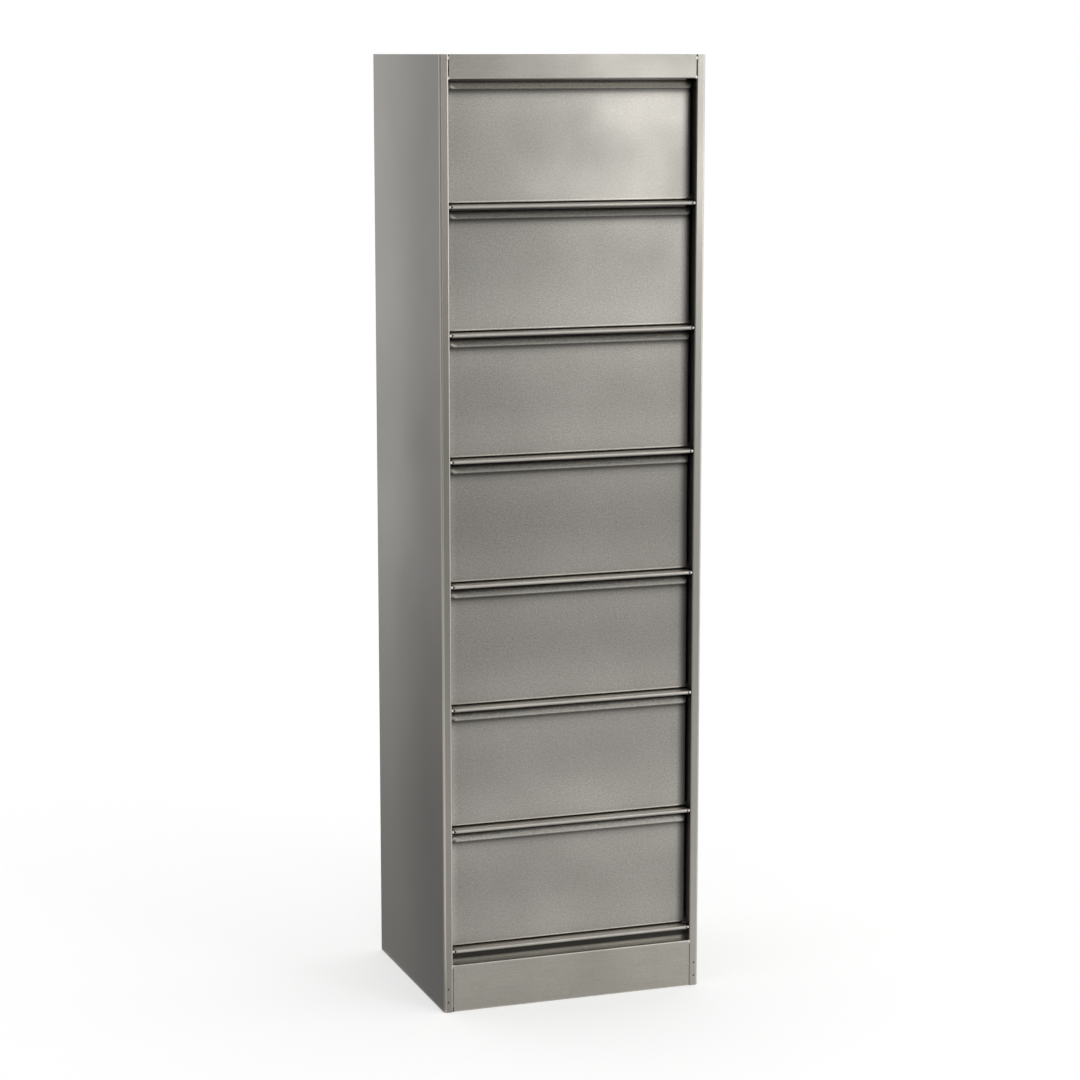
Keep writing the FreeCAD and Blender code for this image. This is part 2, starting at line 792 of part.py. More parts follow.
def pivot_bushes():
    """Square snap-in bushes in the jambs, two at each bay."""
    bore = pin_radius + size.pin_fit
    body = new_body("pivot_bushes")
    pads = []
    for side in (LEFT, RIGHT):
        flange = new_sketch(body, "YZ_Plane", opening_half * side)
        draw_square(flange, 0.0, 0.0, size.bush_flange / 2)
        draw_circle(flange, 0.0, 0.0, bore)
        pads.append(add_pad(body, flange, size.bush_flange_sheet, towards=-side))
        barrel = new_sketch(body, "YZ_Plane", opening_half * side)
        draw_square(barrel, 0.0, 0.0, size.bush_barrel / 2)
        draw_circle(barrel, 0.0, 0.0, bore)
        pads.append(add_pad(body, barrel, size.bush_length, towards=side))
    repeat_up(body, pads)
    return put_at(body, pivot_y, base_level + pivot_height)


# Stops and catches, drawn from the level of the shelf above the bay

def stop_rail(label, level, seat):
    """Angle bar behind a flap's top, notched for the poles of its catch."""
    sheet = size.rail_sheet
    top = -seat
    low = -size.rail_drop
    level_end = rail_front + size.rail_depth
    body = new_body(label)
    profile = new_sketch(body, "YZ_Plane")
    corners = [
        (rail_front, top, None),
        (level_end, top, None),
        (level_end, top - sheet, None),
        (rail_back, top - sheet, None),
        (rail_back, low, None),
        (rail_front, low, None),
    ]
    draw_outline(profile, rounded(corners))
    add_pad(body, profile, (opening_half - size.rail_side_gap) * 2)

    notch = new_sketch(body, "XZ_Plane", rail_front - CUT_MARGIN)
    notch_half = size.pole_length / 2 + size.pocket_play * 2
    poles_half = size.magnet_height / 2 + size.magnet_play + size.pole_sheet
    notch_top = poles_half + size.pocket_play * 2 - size.catch_drop
    draw_outline(notch, rectangle(-notch_half, notch_half, low - CUT_MARGIN, notch_top))
    add_pocket(body, notch, sheet + 2 * CUT_MARGIN, towards=1)
    return put_at(body, 0.0, level)


def stop_pads():
    """Rubber pads on the stop rails, two at each bay."""
    half = size.pad_width / 2
    half_height = size.pad_height / 2
    body = new_body("stop_pads")
    pads = new_sketch(body, "XZ_Plane", rail_front)
    for side in (LEFT, RIGHT):
        middle = size.pad_spacing / 2 * side
        draw_outline(pads, rectangle(middle - half, middle + half, -half_height, half_height))
    repeat_up(body, [add_pad(body, pads, size.pad_proud, towards=-1)])
    return put_at(body, 0.0, base_level + pitch - size.catch_drop)


def magnet_catch(label, level):
    """Housing of a magnetic catch on the back of a stop rail."""
    half_height = size.catch_height / 2
    half = size.catch_width / 2
    poles_half = size.magnet_height / 2 + size.magnet_play + size.pole_sheet
    pocket_half = size.pole_length / 2 + size.pocket_play
    body = new_body(label)
    block = new_sketch(body, "XZ_Plane", rail_back)
    draw_outline(block, rectangle(-half, half, -half_height, half_height))
    add_pad(body, block, size.catch_depth, towards=1)
    hollow = new_sketch(body, "XZ_Plane", rail_back)
    pocket_up = poles_half + size.pocket_play
    draw_outline(hollow, rectangle(-pocket_half, pocket_half, -pocket_up, pocket_up))
    add_pocket(body, hollow, size.pole_inset + size.pocket_play, towards=1)
    return put_at(body, 0.0, level - size.catch_drop)


def catch_poles():
    """Steel pole plates of the catches, two at each bay."""
    inner = size.magnet_height / 2 + size.magnet_play
    outer = inner + size.pole_sheet
    half = size.pole_length / 2
    body = new_body("catch_poles")
    plates = new_sketch(body, "XZ_Plane", pole_front)
    draw_outline(plates, rectangle(-half, half, inner, outer))
    draw_outline(plates, rectangle(-half, half, -outer, -inner))
    pad = add_pad(body, plates, rail_back - pole_front + size.pole_inset, towards=1)
    repeat_up(body, [pad])
    return put_at(body, 0.0, base_level + pitch - size.catch_drop)


def catch_magnets():
    """Magnets between the pole plates, one at each bay."""
    half_height = size.magnet_height / 2
    half = size.pole_length / 2
    magnet_front = pole_front + size.magnet_sink
    body = new_body("catch_magnets")
    block = new_sketch(body, "XZ_Plane", magnet_front)
    draw_outline(block, rectangle(-half, half, -half_height, half_height))
    pad = add_pad(body, block, rail_back - magnet_front + size.pole_inset, towards=1)
    repeat_up(body, [pad])
    return put_at(body, 0.0, base_level + pitch - size.catch_drop)


def build_cabinet():
    """Make every sub-part and give them in the order that they are put together."""
    pieces = [
        side_panel("left_side_panel", LEFT),
        side_panel("right_side_panel", RIGHT),
        back_panel(),
        top_panel(),
        header_rail(),
        plinth(),
        foot_gusset("foot_gusset_left", LEFT),
        foot_gusset("foot_gusset_right", RIGHT),
        pivot_bushes(),
        stop_pads(),
        catch_poles(),
        catch_magnets(),
    ]
    for index in range(bays):
        number = index + 1
        level = bay_level(index)
        above = bay_level(index + 1)
        # The top bay's rail hangs from the header, the others from the shelf above
        seat = size.nose_height if number == bays else size.shelf_sheet
        pieces.append(shelf("bottom_shelf" if index == 0 else f"shelf_{number}", level))
        pieces.append(stop_rail(f"stop_rail_{number}", above, seat))
        pieces.append(magnet_catch(f"magnet_catch_{number}", above))
        pieces.append(flap(f"flap_{number}", level))
        pieces.append(pivot_pins(f"pivot_pins_{number}", level))
    return pieces


def check(pieces):
    """Stop if any object failed or any sub-part has no valid shape."""
    for item in doc.Objects:
        if "Invalid" in item.State or "Error" in item.State:
            raise RuntimeError(f"{item.Label} of {item.FullName} failed: {item.State}")
    for body in pieces:
        if body.Shape.isNull() or not body.Shape.isValid():
            raise RuntimeError(f"{body.Label} has no valid shape")


def write_steps(pieces):
    """Write one STEP file for each sub-part and print what it holds."""
    os.makedirs("parts", exist_ok=True)
    for body in pieces:
        body.Shape.exportStep(f"parts/{body.Label}.step")
        solids = len(body.Shape.Solids)
        print(f"{body.Label}: {solids} solid(s), {body.Shape.Volume:.0f} cubic mm")


cabinet = build_cabinet()
doc.recompute()
check(cabinet)
write_steps(cabinet)
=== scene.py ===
"""Looks of a tall filing cabinet in bare, clear-varnished sheet steel.

Seven document bays stand one above another, each closed by a flap with a folded
finger lip. Every sheet is traced as it is bent, given its thickness, and dressed
in brushed steel. Welds and rivets are set out by Geometry Nodes.
"""

import logging
import math
from dataclasses import dataclass, field
from enum import Enum
from typing import Any, Callable, Optional, Sequence

import bmesh
import bpy
from bpy.types import ID, Material, Node, NodeSocket, NodeTree, Object
from mathutils import Matrix, Vector


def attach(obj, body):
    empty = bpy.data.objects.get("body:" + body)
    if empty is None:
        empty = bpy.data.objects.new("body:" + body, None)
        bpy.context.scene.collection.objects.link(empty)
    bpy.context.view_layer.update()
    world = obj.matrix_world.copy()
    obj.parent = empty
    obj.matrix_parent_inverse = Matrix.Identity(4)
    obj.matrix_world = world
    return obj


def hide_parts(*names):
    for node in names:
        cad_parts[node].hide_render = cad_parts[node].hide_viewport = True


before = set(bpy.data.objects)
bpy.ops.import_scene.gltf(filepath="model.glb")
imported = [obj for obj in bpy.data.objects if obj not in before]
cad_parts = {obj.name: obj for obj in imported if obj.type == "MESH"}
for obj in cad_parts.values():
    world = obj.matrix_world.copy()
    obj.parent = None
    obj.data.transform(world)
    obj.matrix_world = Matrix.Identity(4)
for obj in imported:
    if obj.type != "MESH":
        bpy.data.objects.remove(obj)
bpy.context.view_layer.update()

log = logging.getLogger("cabinet")

MM = 0.001
CASE = "case"

# Faces that meet at more degrees than this have a sharp edge
SHARP = 35.0

# Parts of a noise texture's range that are spread over the whole, the narrower one for more contrast
NOISE = {"From Min": 0.3, "From Max": 0.7}
PATCHES = {"From Min": 0.35, "From Max": 0.65}

# Places across a wide sheet, in mm, where its rows have more points, so that its faces stay compact
INNER = (-60.0, 60.0)

Point2 = tuple[float, float]
Point3 = tuple[float, float, float]
Place = Callable[[float, float, float], Point3]
Keep = Optional[Callable[[Vector], bool]]


class Side(Enum):
    """A side of the cabinet, as the sign of its X."""

    LEFT = -1
    RIGHT = 1


class Axis(Enum):
    """An axis of the cabinet, as the number of its coordinate."""

    X = 0
    Y = 1
    Z = 2


class Brushing(Enum):
    """Direction of the abrasive's scratches, as the length of a streak along X, Y and Z in mm."""

    LEVEL = (70.0, 1.3, 1.3)
    UPRIGHT = (1.3, 1.3, 90.0)
    CLOUDY = (6.0, 3.0, 4.0)


@dataclass(frozen=True)
class Bays:
    """Heights of the document bays, in mm."""

    count: int = 7
    base: float = 91.7
    pitch: float = 175.9
    hinge_rise: float = 4.3

    def shelf_top(self, index: int) -> float:
        """Gives the top of a bay's shelf, counted from 0 at the bottom."""
        return self.base + self.pitch * index

    def hinge(self, index: int) -> float:
        """Gives the height of a flap's pivot."""
        return self.shelf_top(index) + self.hinge_rise


BAYS = Bays()


# Shared helpers


def linear(hex_colour: str) -> tuple[float, float, float, float]:
    """Turns an sRGB colour into linear values.

    Args:
        hex_colour: Colour as "#RRGGBB".

    Returns:
        Red, green, blue and alpha, linear.
    """
    levels = [int(hex_colour[i : i + 2], 16) / 255 for i in (1, 3, 5)]
    red, green, blue = (c / 12.92 if c <= 0.04045 else ((c + 0.055) / 1.055) ** 2.4 for c in levels)
    return red, green, blue, 1.0


def add_node(tree: NodeTree, kind: str, inputs: Optional[dict[Any, Any]] = None, **settings: Any) -> Node:
    """Adds a node with its settings, and its inputs as values or links.

    Args:
        tree: Node tree that gets the node.
        kind: Type name of the node.
        inputs: Values, sockets, or nodes that give their first output, by the name or number of the input.
        **settings: Properties of the node.

    Returns:
        The new node.
    """
    node = tree.nodes.new(kind)
    for key, value in settings.items():
        setattr(node, key, value)
    for key, value in (inputs or {}).items():
        given = value.outputs[0] if isinstance(value, Node) else value
        if isinstance(given, NodeSocket):
            tree.links.new(given, node.inputs[key])
        else:
            node.inputs[key].default_value = given
    return node


def new_material(name: str) -> tuple[Material, NodeTree]:
    """Starts a material with an empty node tree.

    Args:
        name: Name of the material.

    Returns:
        The material and its tree.
    """
    material = bpy.data.materials.new(name)
    material.use_nodes = True
    material.node_tree.nodes.clear()
    return material, material.node_tree


def new_object(name: str, data: ID) -> Object:
    """Puts an object in the scene.

    Args:
        name: Name of the object.
        data: Its mesh, lamp or camera.

    Returns:
        The object.
    """
    obj = bpy.data.objects.new(name, data)
    bpy.context.scene.collection.objects.link(obj)
    return obj


def plain_mesh(obj: Object) -> Object:
    """Turns an object with modifiers into its finished mesh, and drops the modifiers.

    Args:
        obj: Object whose modifiers are applied.

    Returns:
        The same object.
    """
    bpy.context.view_layer.update()
    evaluated = obj.evaluated_get(bpy.context.evaluated_depsgraph_get())
    mesh = bpy.data.meshes.new_from_object(evaluated)
    mesh.name = obj.name
    obj.modifiers.clear()
    obj.data = mesh
    return obj


def shade(obj: Object, angle: float = SHARP) -> Object:
    """Shades a mesh smooth, apart from its sharp edges.

    Args:
        obj: Object with a plain mesh.
        angle: Faces that meet at more degrees than this have a sharp edge.

    Returns:
        The same object.
    """
    obj.data.polygons.foreach_set("use_smooth", [True] * len(obj.data.polygons))
    obj.data.set_sharp_from_angle(angle=math.radians(angle))
    return obj


def mark_bends(obj: Object, least: float = 4.0, most: float = 50.0) -> Object:
    """Marks the outer side of smooth bends in the attribute "bend", for the painted highlight along bends.

    Args:
        obj: Object with a plain mesh.
        least: Smallest angle in degrees between two faces of a bend.
        most: Largest such angle, past which the edge is a corner.

    Returns:
        The same object.
    """
    bm = bmesh.new()
    bm.from_mesh(obj.data)
    layer = bm.verts.layers.float.new("bend")
    for edge in bm.edges:
        if edge.is_manifold and math.radians(least) < edge.calc_face_angle_signed() < math.radians(most):
            for vert in edge.verts:
                vert[layer] = 1.0
    bm.to_mesh(obj.data)
    bm.free()
    return obj


def fit(piece: Object, steel: Material, body: str, node: str) -> Object:
    """Dresses a piece of sheet and fits it to the frame.

    Args:
        piece: The finished piece.
        steel: Its finish.
        body: Body that it moves with.
        node: Solid that it stands for.

    Returns:
        The same piece.
    """
    piece.data.materials.clear()
    piece.data.materials.append(steel)
    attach(piece, body)
    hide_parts(node)
    return piece


# Bent sheet


@dataclass
class Pen:
    """Traces the face side of a bent sheet as a chain of points in a plane, in mm."""

    at: Point2
    heading: float
    points: list[Point2] = field(default_factory=list)
    support: float = 0.35
    step: float = 11.25

    def __post_init__(self) -> None:
        """Puts the pen down."""
        self.points.append(self.at)

    def ahead(self, distance: float) -> Point2:
        """Gives the point at a distance straight ahead."""
        angle = math.radians(self.heading)
        return self.at[0] + distance * math.cos(angle), self.at[1] + distance * math.sin(angle)

    def run(self, length: float) -> "Pen":
        """Draws a straight run, with a point close to each end that keeps the flat's shading flat.

        Args:
            length: Length of the run in mm.

        Returns:
            The pen itself.
        """
        stops = [self.support, length - self.support] if length > 3 * self.support else []
        self.points += [self.ahead(stop) for stop in stops]
        self.at = self.ahead(length)
        self.points.append(self.at)
        return self

    def bend(self, radius: float, angle: float) -> "Pen":
        """Draws an arc.

        Args:
            radius: Radius of the face side in mm.
            angle: Turn in degrees, positive to the left.

        Returns:
            The pen itself.
        """
        turn = math.copysign(1.0, angle)
        normal = math.radians(self.heading) + turn * math.pi / 2
        centre = (self.at[0] + radius * math.cos(normal), self.at[1] + radius * math.sin(normal))
        count = max(4, math.ceil(abs(angle) / self.step))
        for i in range(1, count + 1):
            spoke = normal + math.pi + math.radians(angle) * i / count
            self.points.append((centre[0] + radius * math.cos(spoke), centre[1] + radius * math.sin(spoke)))
        self.at = self.points[-1]
        self.heading += angle
        return self


class SheetShell:
    """The face side of a folded sheet, gathered strip by strip, then given its thickness."""

    MERGE_MM = 0.01
    # Degrees between faces: past the first an edge gets an arris, past the second it shades sharp beside one
    SQUARE = 60.0
    SHARP_BY_ARRIS = 50.0

    def __init__(self, name: str) -> None:
        """Starts an empty shell with the piece's name."""
        self.name = name
        self.mesh = bmesh.new()

    def strip(self, rows: Sequence[Sequence[Point3]], keep: Keep = None) -> None:
        """Adds a grid of faces.

        Args:
            rows: Rows of points in mm, all of one length.
            keep: Says for a cell's centre in mm whether there is sheet there.
        """
        corners = [[self.mesh.verts.new(Vector(p) * MM) for p in row] for row in rows]
        for lower, upper in zip(corners, corners[1:]):
            for i in range(len(lower) - 1):
                cell = (lower[i], lower[i + 1], upper[i + 1], upper[i])
                centre = sum((v.co for v in cell), Vector()) / 4 / MM
                if keep is None or keep(centre):
                    self.mesh.faces.new(cell)

    def extrude(self, points: list[Point2], levels: Sequence[float], place: Place, keep: Keep = None) -> None:
        """Adds a traced profile at each level, where place turns its points and the level into X, Y and Z."""
        self.strip([[place(u, v, w) for u, v in points] for w in levels], keep)

    def close(self, thickness: float, facing: Vector, near: Vector, edge: float = 0.0) -> Object:
        """Merges the strips and gives the sheet its thickness behind the face side.

        Args:
            thickness: Sheet thickness in mm.
            facing: Direction that the face side looks in at a known place.
            near: That place, in mm.
            edge: Width of the deburred arris along the cut edges in mm, or 0.

        Returns:
            The finished piece.
        """
        bm = self.mesh
        bmesh.ops.remove_doubles(bm, verts=bm.verts, dist=self.MERGE_MM * MM)
        bmesh.ops.delete(bm, geom=[v for v in bm.verts if not v.link_faces], context="VERTS")
        bmesh.ops.recalc_face_normals(bm, faces=bm.faces)
        nearest = min(bm.faces, key=lambda f: (f.calc_center_median() / MM - near).length)
        if nearest.normal.dot(facing) < 0:
            bmesh.ops.reverse_faces(bm, faces=bm.faces)
        mesh = bpy.data.meshes.new(self.name)
        bm.to_mesh(mesh)
        bm.free()
        obj = new_object(self.name, mesh)
        wall = obj.modifiers.new("sheet", "SOLIDIFY")
        wall.thickness = thickness * MM
        wall.offset = -1.0
        wall.use_even_offset = True
        wall.use_rim = True
        if edge:
            arris = obj.modifiers.new("arris", "BEVEL")
            arris.width = edge * MM
            arris.segments = 1
            arris.limit_method = "ANGLE"
            arris.angle_limit = math.radians(self.SQUARE)
            arris.use_clamp_overlap = True
        return mark_bends(shade(plain_mesh(obj), self.SHARP_BY_ARRIS if edge else SHARP))


# Finishes


@dataclass(frozen=True)
class Fade:
    """A share of the brightness, painted light above 1 and painted shade below, reached along an axis, from
    one place to another in mm.
    """

    axis: Axis
    start: float
    finish: float
    share: float


@dataclass(frozen=True)
class SheetSteel:
    """Cold-rolled sheet steel, brushed by hand and sealed with clear varnish.

    The eye gets a warm grey metal with soft reflections, a fine mottled grain, faint
    cloudy patches and short abrasive streaks under a thin transparent film. Bands are
    shares of painted light and shade by height in mm, and come back at each pitch.
    """

    name: str
    brushing: Brushing
    tone: str = "#918E87"
    shade: str = "#8A8781"
    roughness: float = 0.34
    dulling: float = 0.05
    least_roughness: float = 0.285
    cloud_mm: float = 120.0
    grain_mm: float = 2.4
    grain_depth: float = 0.06
    streak_depth: float = 0.05
    wave_mm: float = 170.0
    wave_depth_mm: float = 0.35
    tooth: float = 0.35
    tooth_mm: float = 0.08
    varnish: float = 0.35
    varnish_roughness: float = 0.22
    haze: float = 0.08
    haze_roughness: float = 0.85
    # Share of painted highlight along the bends
    bend_highlight: float = 0.35
    bands: tuple[tuple[float, float], ...] = ()
    bands_from: float = BAYS.base
    bands_pitch: float = BAYS.pitch
    fades: tuple[Fade, ...] = ()

    def build(self) -> Material:
        """Makes the material.

        Returns:
            The finished material.
        """
        material, tree = new_material(self.name)
        place = add_node(tree, "ShaderNodeTexCoord").outputs["Object"]
        # Real grain is near 0.3 mm. It is drawn at a couple of mm so that it shows in the render.
        clouds, grain, waves = (
            add_node(tree, "ShaderNodeTexNoise", {"Vector": place, "Scale": 1 / (mm * MM), "Detail": detail})
            for mm, detail in ((self.cloud_mm, 3.0), (self.grain_mm, 2.0), (self.wave_mm, 1.0))
        )
        stretch = [1 / (length * MM) for length in self.brushing.value]
        along = add_node(tree, "ShaderNodeMapping", {"Vector": place, "Scale": stretch})
        streaks = add_node(tree, "ShaderNodeTexNoise", {"Vector": along, "Scale": 1.0, "Detail": 2.0})

        patches = add_node(tree, "ShaderNodeMapRange", {"Value": clouds, **PATCHES})
        tones = {6: linear(self.tone), 7: linear(self.shade)}
        base = add_node(tree, "ShaderNodeMix", {0: patches, **tones}, data_type="RGBA").outputs[2]
        speckle, scratch = (
            add_node(tree, "ShaderNodeMapRange", {"Value": mark, **NOISE, "To Min": 1 - by, "To Max": 1 + by})
            for mark, by in ((grain, self.grain_depth), (streaks, self.streak_depth))
        )
        both = add_node(tree, "ShaderNodeMath", {0: speckle, 1: scratch}, operation="MULTIPLY")
        painted_level = self.paint_light(tree, place, both)
        colour = add_node(tree, "ShaderNodeVectorMath", {0: base, "Scale": painted_level}, operation="SCALE")

        dullness = {"To Min": self.roughness - self.dulling, "To Max": self.roughness + self.dulling}
        dulled = add_node(tree, "ShaderNodeMapRange", {"Value": clouds, **NOISE, **dullness})
        uneven = add_node(tree, "ShaderNodeMath", {0: dulled, 1: both}, operation="MULTIPLY")
        rough = add_node(tree, "ShaderNodeMath", {0: uneven, 1: self.least_roughness}, operation="MAXIMUM")
        depth = self.wave_depth_mm * MM
        buckle = add_node(tree, "ShaderNodeBump", {"Height": waves, "Strength": 1.0, "Distance": depth})
        relief = add_node(tree, "ShaderNodeMath", {0: grain, 1: streaks}, operation="ADD")
        tooth = add_node(
            tree, "ShaderNodeBump",
            {"Height": relief, "Strength": self.tooth, "Distance": self.tooth_mm * MM, "Normal": buckle},
        )

        # The coarser scratches under the varnish throw a faint wide haze around the soft reflection
        # The varnish thins with the painted shade, so painted shadows stay dark
        cover = {0: painted_level, 1: self.varnish}
        film = add_node(tree, "ShaderNodeMath", cover, operation="MULTIPLY", use_clamp=True)
        near, wide = (
            add_node(
                tree, "ShaderNodeBsdfPrincipled",
                {"Base Color": colour, "Metallic": 1.0, "Roughness": spread, "Normal": tooth,
                 "Coat Weight": coat, "Coat Roughness": self.varnish_roughness},
            )
            for spread, coat in ((rough, film), (self.haze_roughness, 0.0))
        )
        shader = add_node(tree, "ShaderNodeMixShader", {0: self.haze, 1: near, 2: wide})
        add_node(tree, "ShaderNodeOutputMaterial", {"Surface": shader})
        return material

    def paint_light(self, tree: NodeTree, place: NodeSocket, level: Node) -> Node:
        """Paints broad light and shade into the brightness.

        Args:
            tree: Node tree of the material.
            place: Object coordinates.
            level: Brightness so far.

        Returns:
            Brightness with the painted bend highlights, the painted bands and the painted fades.
        """
        spot = add_node(tree, "ShaderNodeSeparateXYZ", {"Vector": place}).outputs
        bend = add_node(tree, "ShaderNodeAttribute", attribute_name="bend").outputs["Fac"]
        # Painted highlight along the bends
        bend_light = {0: bend, 1: self.bend_highlight, 2: 1.0}
        shares = [add_node(tree, "ShaderNodeMath", bend_light, operation="MULTIPLY_ADD")]
        # Painted light and shade by height, repeated at each pitch
        if self.bands:
            low, high = self.bands_from * MM, (self.bands_from + self.bands_pitch) * MM
            rise = {"Value": spot[Axis.Z.value], "From Min": low, "From Max": high}
            count = add_node(tree, "ShaderNodeMapRange", rise, clamp=False)
            within = add_node(tree, "ShaderNodeMath", {0: count}, operation="FRACT")
            ramp = add_node(tree, "ShaderNodeValToRGB", {"Fac": within})
            stops = ramp.color_ramp.elements
            while len(stops) < len(self.bands):
                stops.new(0.5)
            most = max(share for _, share in self.bands)
            for stop, (height, share) in zip(stops, self.bands):
                stop.position = height / self.bands_pitch
                stop.color = (share / most, share / most, share / most, 1.0)
            shares.append(add_node(tree, "ShaderNodeMath", {0: ramp, 1: most}, operation="MULTIPLY"))
        # Painted light and shade along the axes
        for fade in self.fades:
            way = {"Value": spot[fade.axis.value], "From Min": fade.start * MM, "From Max": fade.finish * MM}
            light = {**way, "To Min": 1.0, "To Max": fade.share}
            shares.append(add_node(tree, "ShaderNodeMapRange", light, interpolation_type="SMOOTHSTEP"))
        for share in shares:
            level = add_node(tree, "ShaderNodeMath", {0: level, 1: share}, operation="MULTIPLY")
        return level


@dataclass(frozen=True)
class SmallFinish:
    """What the finishes of small parts share: two close tones in a fine pattern, and a faint relief."""

    name: str
    tone: str
    shade: str
    roughness: float
    dulling: float = 0.05
    pattern_mm: float = 0.8
    detail: float = 2.0
    contrast: tuple[float, float] = (0.0, 1.0)
    relief: float = 0.4
    relief_mm: float = 0.02

    def optics(self) -> dict[str, float]:
        """Gives the shader's values that are the same all over."""
        return {}

    def build(self) -> Material:
        """Makes the material.

        Returns:
            The finished material.
        """
        material, tree = new_material(self.name)
        place = add_node(tree, "ShaderNodeTexCoord").outputs["Object"]
        scale = 1 / (self.pattern_mm * MM)
        grain = {"Vector": place, "Scale": scale, "Detail": self.detail}
        pattern = add_node(tree, "ShaderNodeTexNoise", grain)
        low, high = self.contrast
        spread = add_node(tree, "ShaderNodeMapRange", {"Value": pattern, "From Min": low, "From Max": high})
        tones = {6: linear(self.tone), 7: linear(self.shade)}
        colour = add_node(tree, "ShaderNodeMix", {0: spread, **tones}, data_type="RGBA").outputs[2]
        dullness = {"To Min": self.roughness - self.dulling, "To Max": self.roughness + self.dulling}
        rough = add_node(tree, "ShaderNodeMapRange", {"Value": pattern, **dullness})
        bumps = {"Height": pattern, "Strength": self.relief, "Distance": self.relief_mm * MM}
        skin = add_node(tree, "ShaderNodeBump", bumps)
        values = {"Base Color": colour, "Roughness": rough, "Normal": skin, **self.optics()}
        shader = add_node(tree, "ShaderNodeBsdfPrincipled", values)
        add_node(tree, "ShaderNodeOutputMaterial", {"Surface": shader})
        return material


@dataclass(frozen=True)
class SmallMetal(SmallFinish):
    """Metal of the small parts: weld beads in a pale tone that paints their glint, zinc plate, ferrite, and
    rivets in a dark tone that paints the shade of their holes.

    The eye gets a duller or brighter spot than the sheet, with a fine uneven skin.
    """

    dulling: float = 0.06
    pattern_mm: float = 1.2
    detail: float = 3.0
    contrast: tuple[float, float] = tuple(NOISE.values())
    relief: float = 0.5
    relief_mm: float = 0.05
    metallic: float = 1.0

    def optics(self) -> dict[str, float]:
        """Gives how much of a metal it is."""
        return {"Metallic": self.metallic}


@dataclass(frozen=True)
class MouldedPlastic(SmallFinish):
    """Moulded nylon or rubber: an even colour with a faint spark-eroded texture and a waxy or dry sheen."""

    ior: float = 1.53

    def optics(self) -> dict[str, float]:
        """Gives how much it bends light."""
        return {"IOR": self.ior}


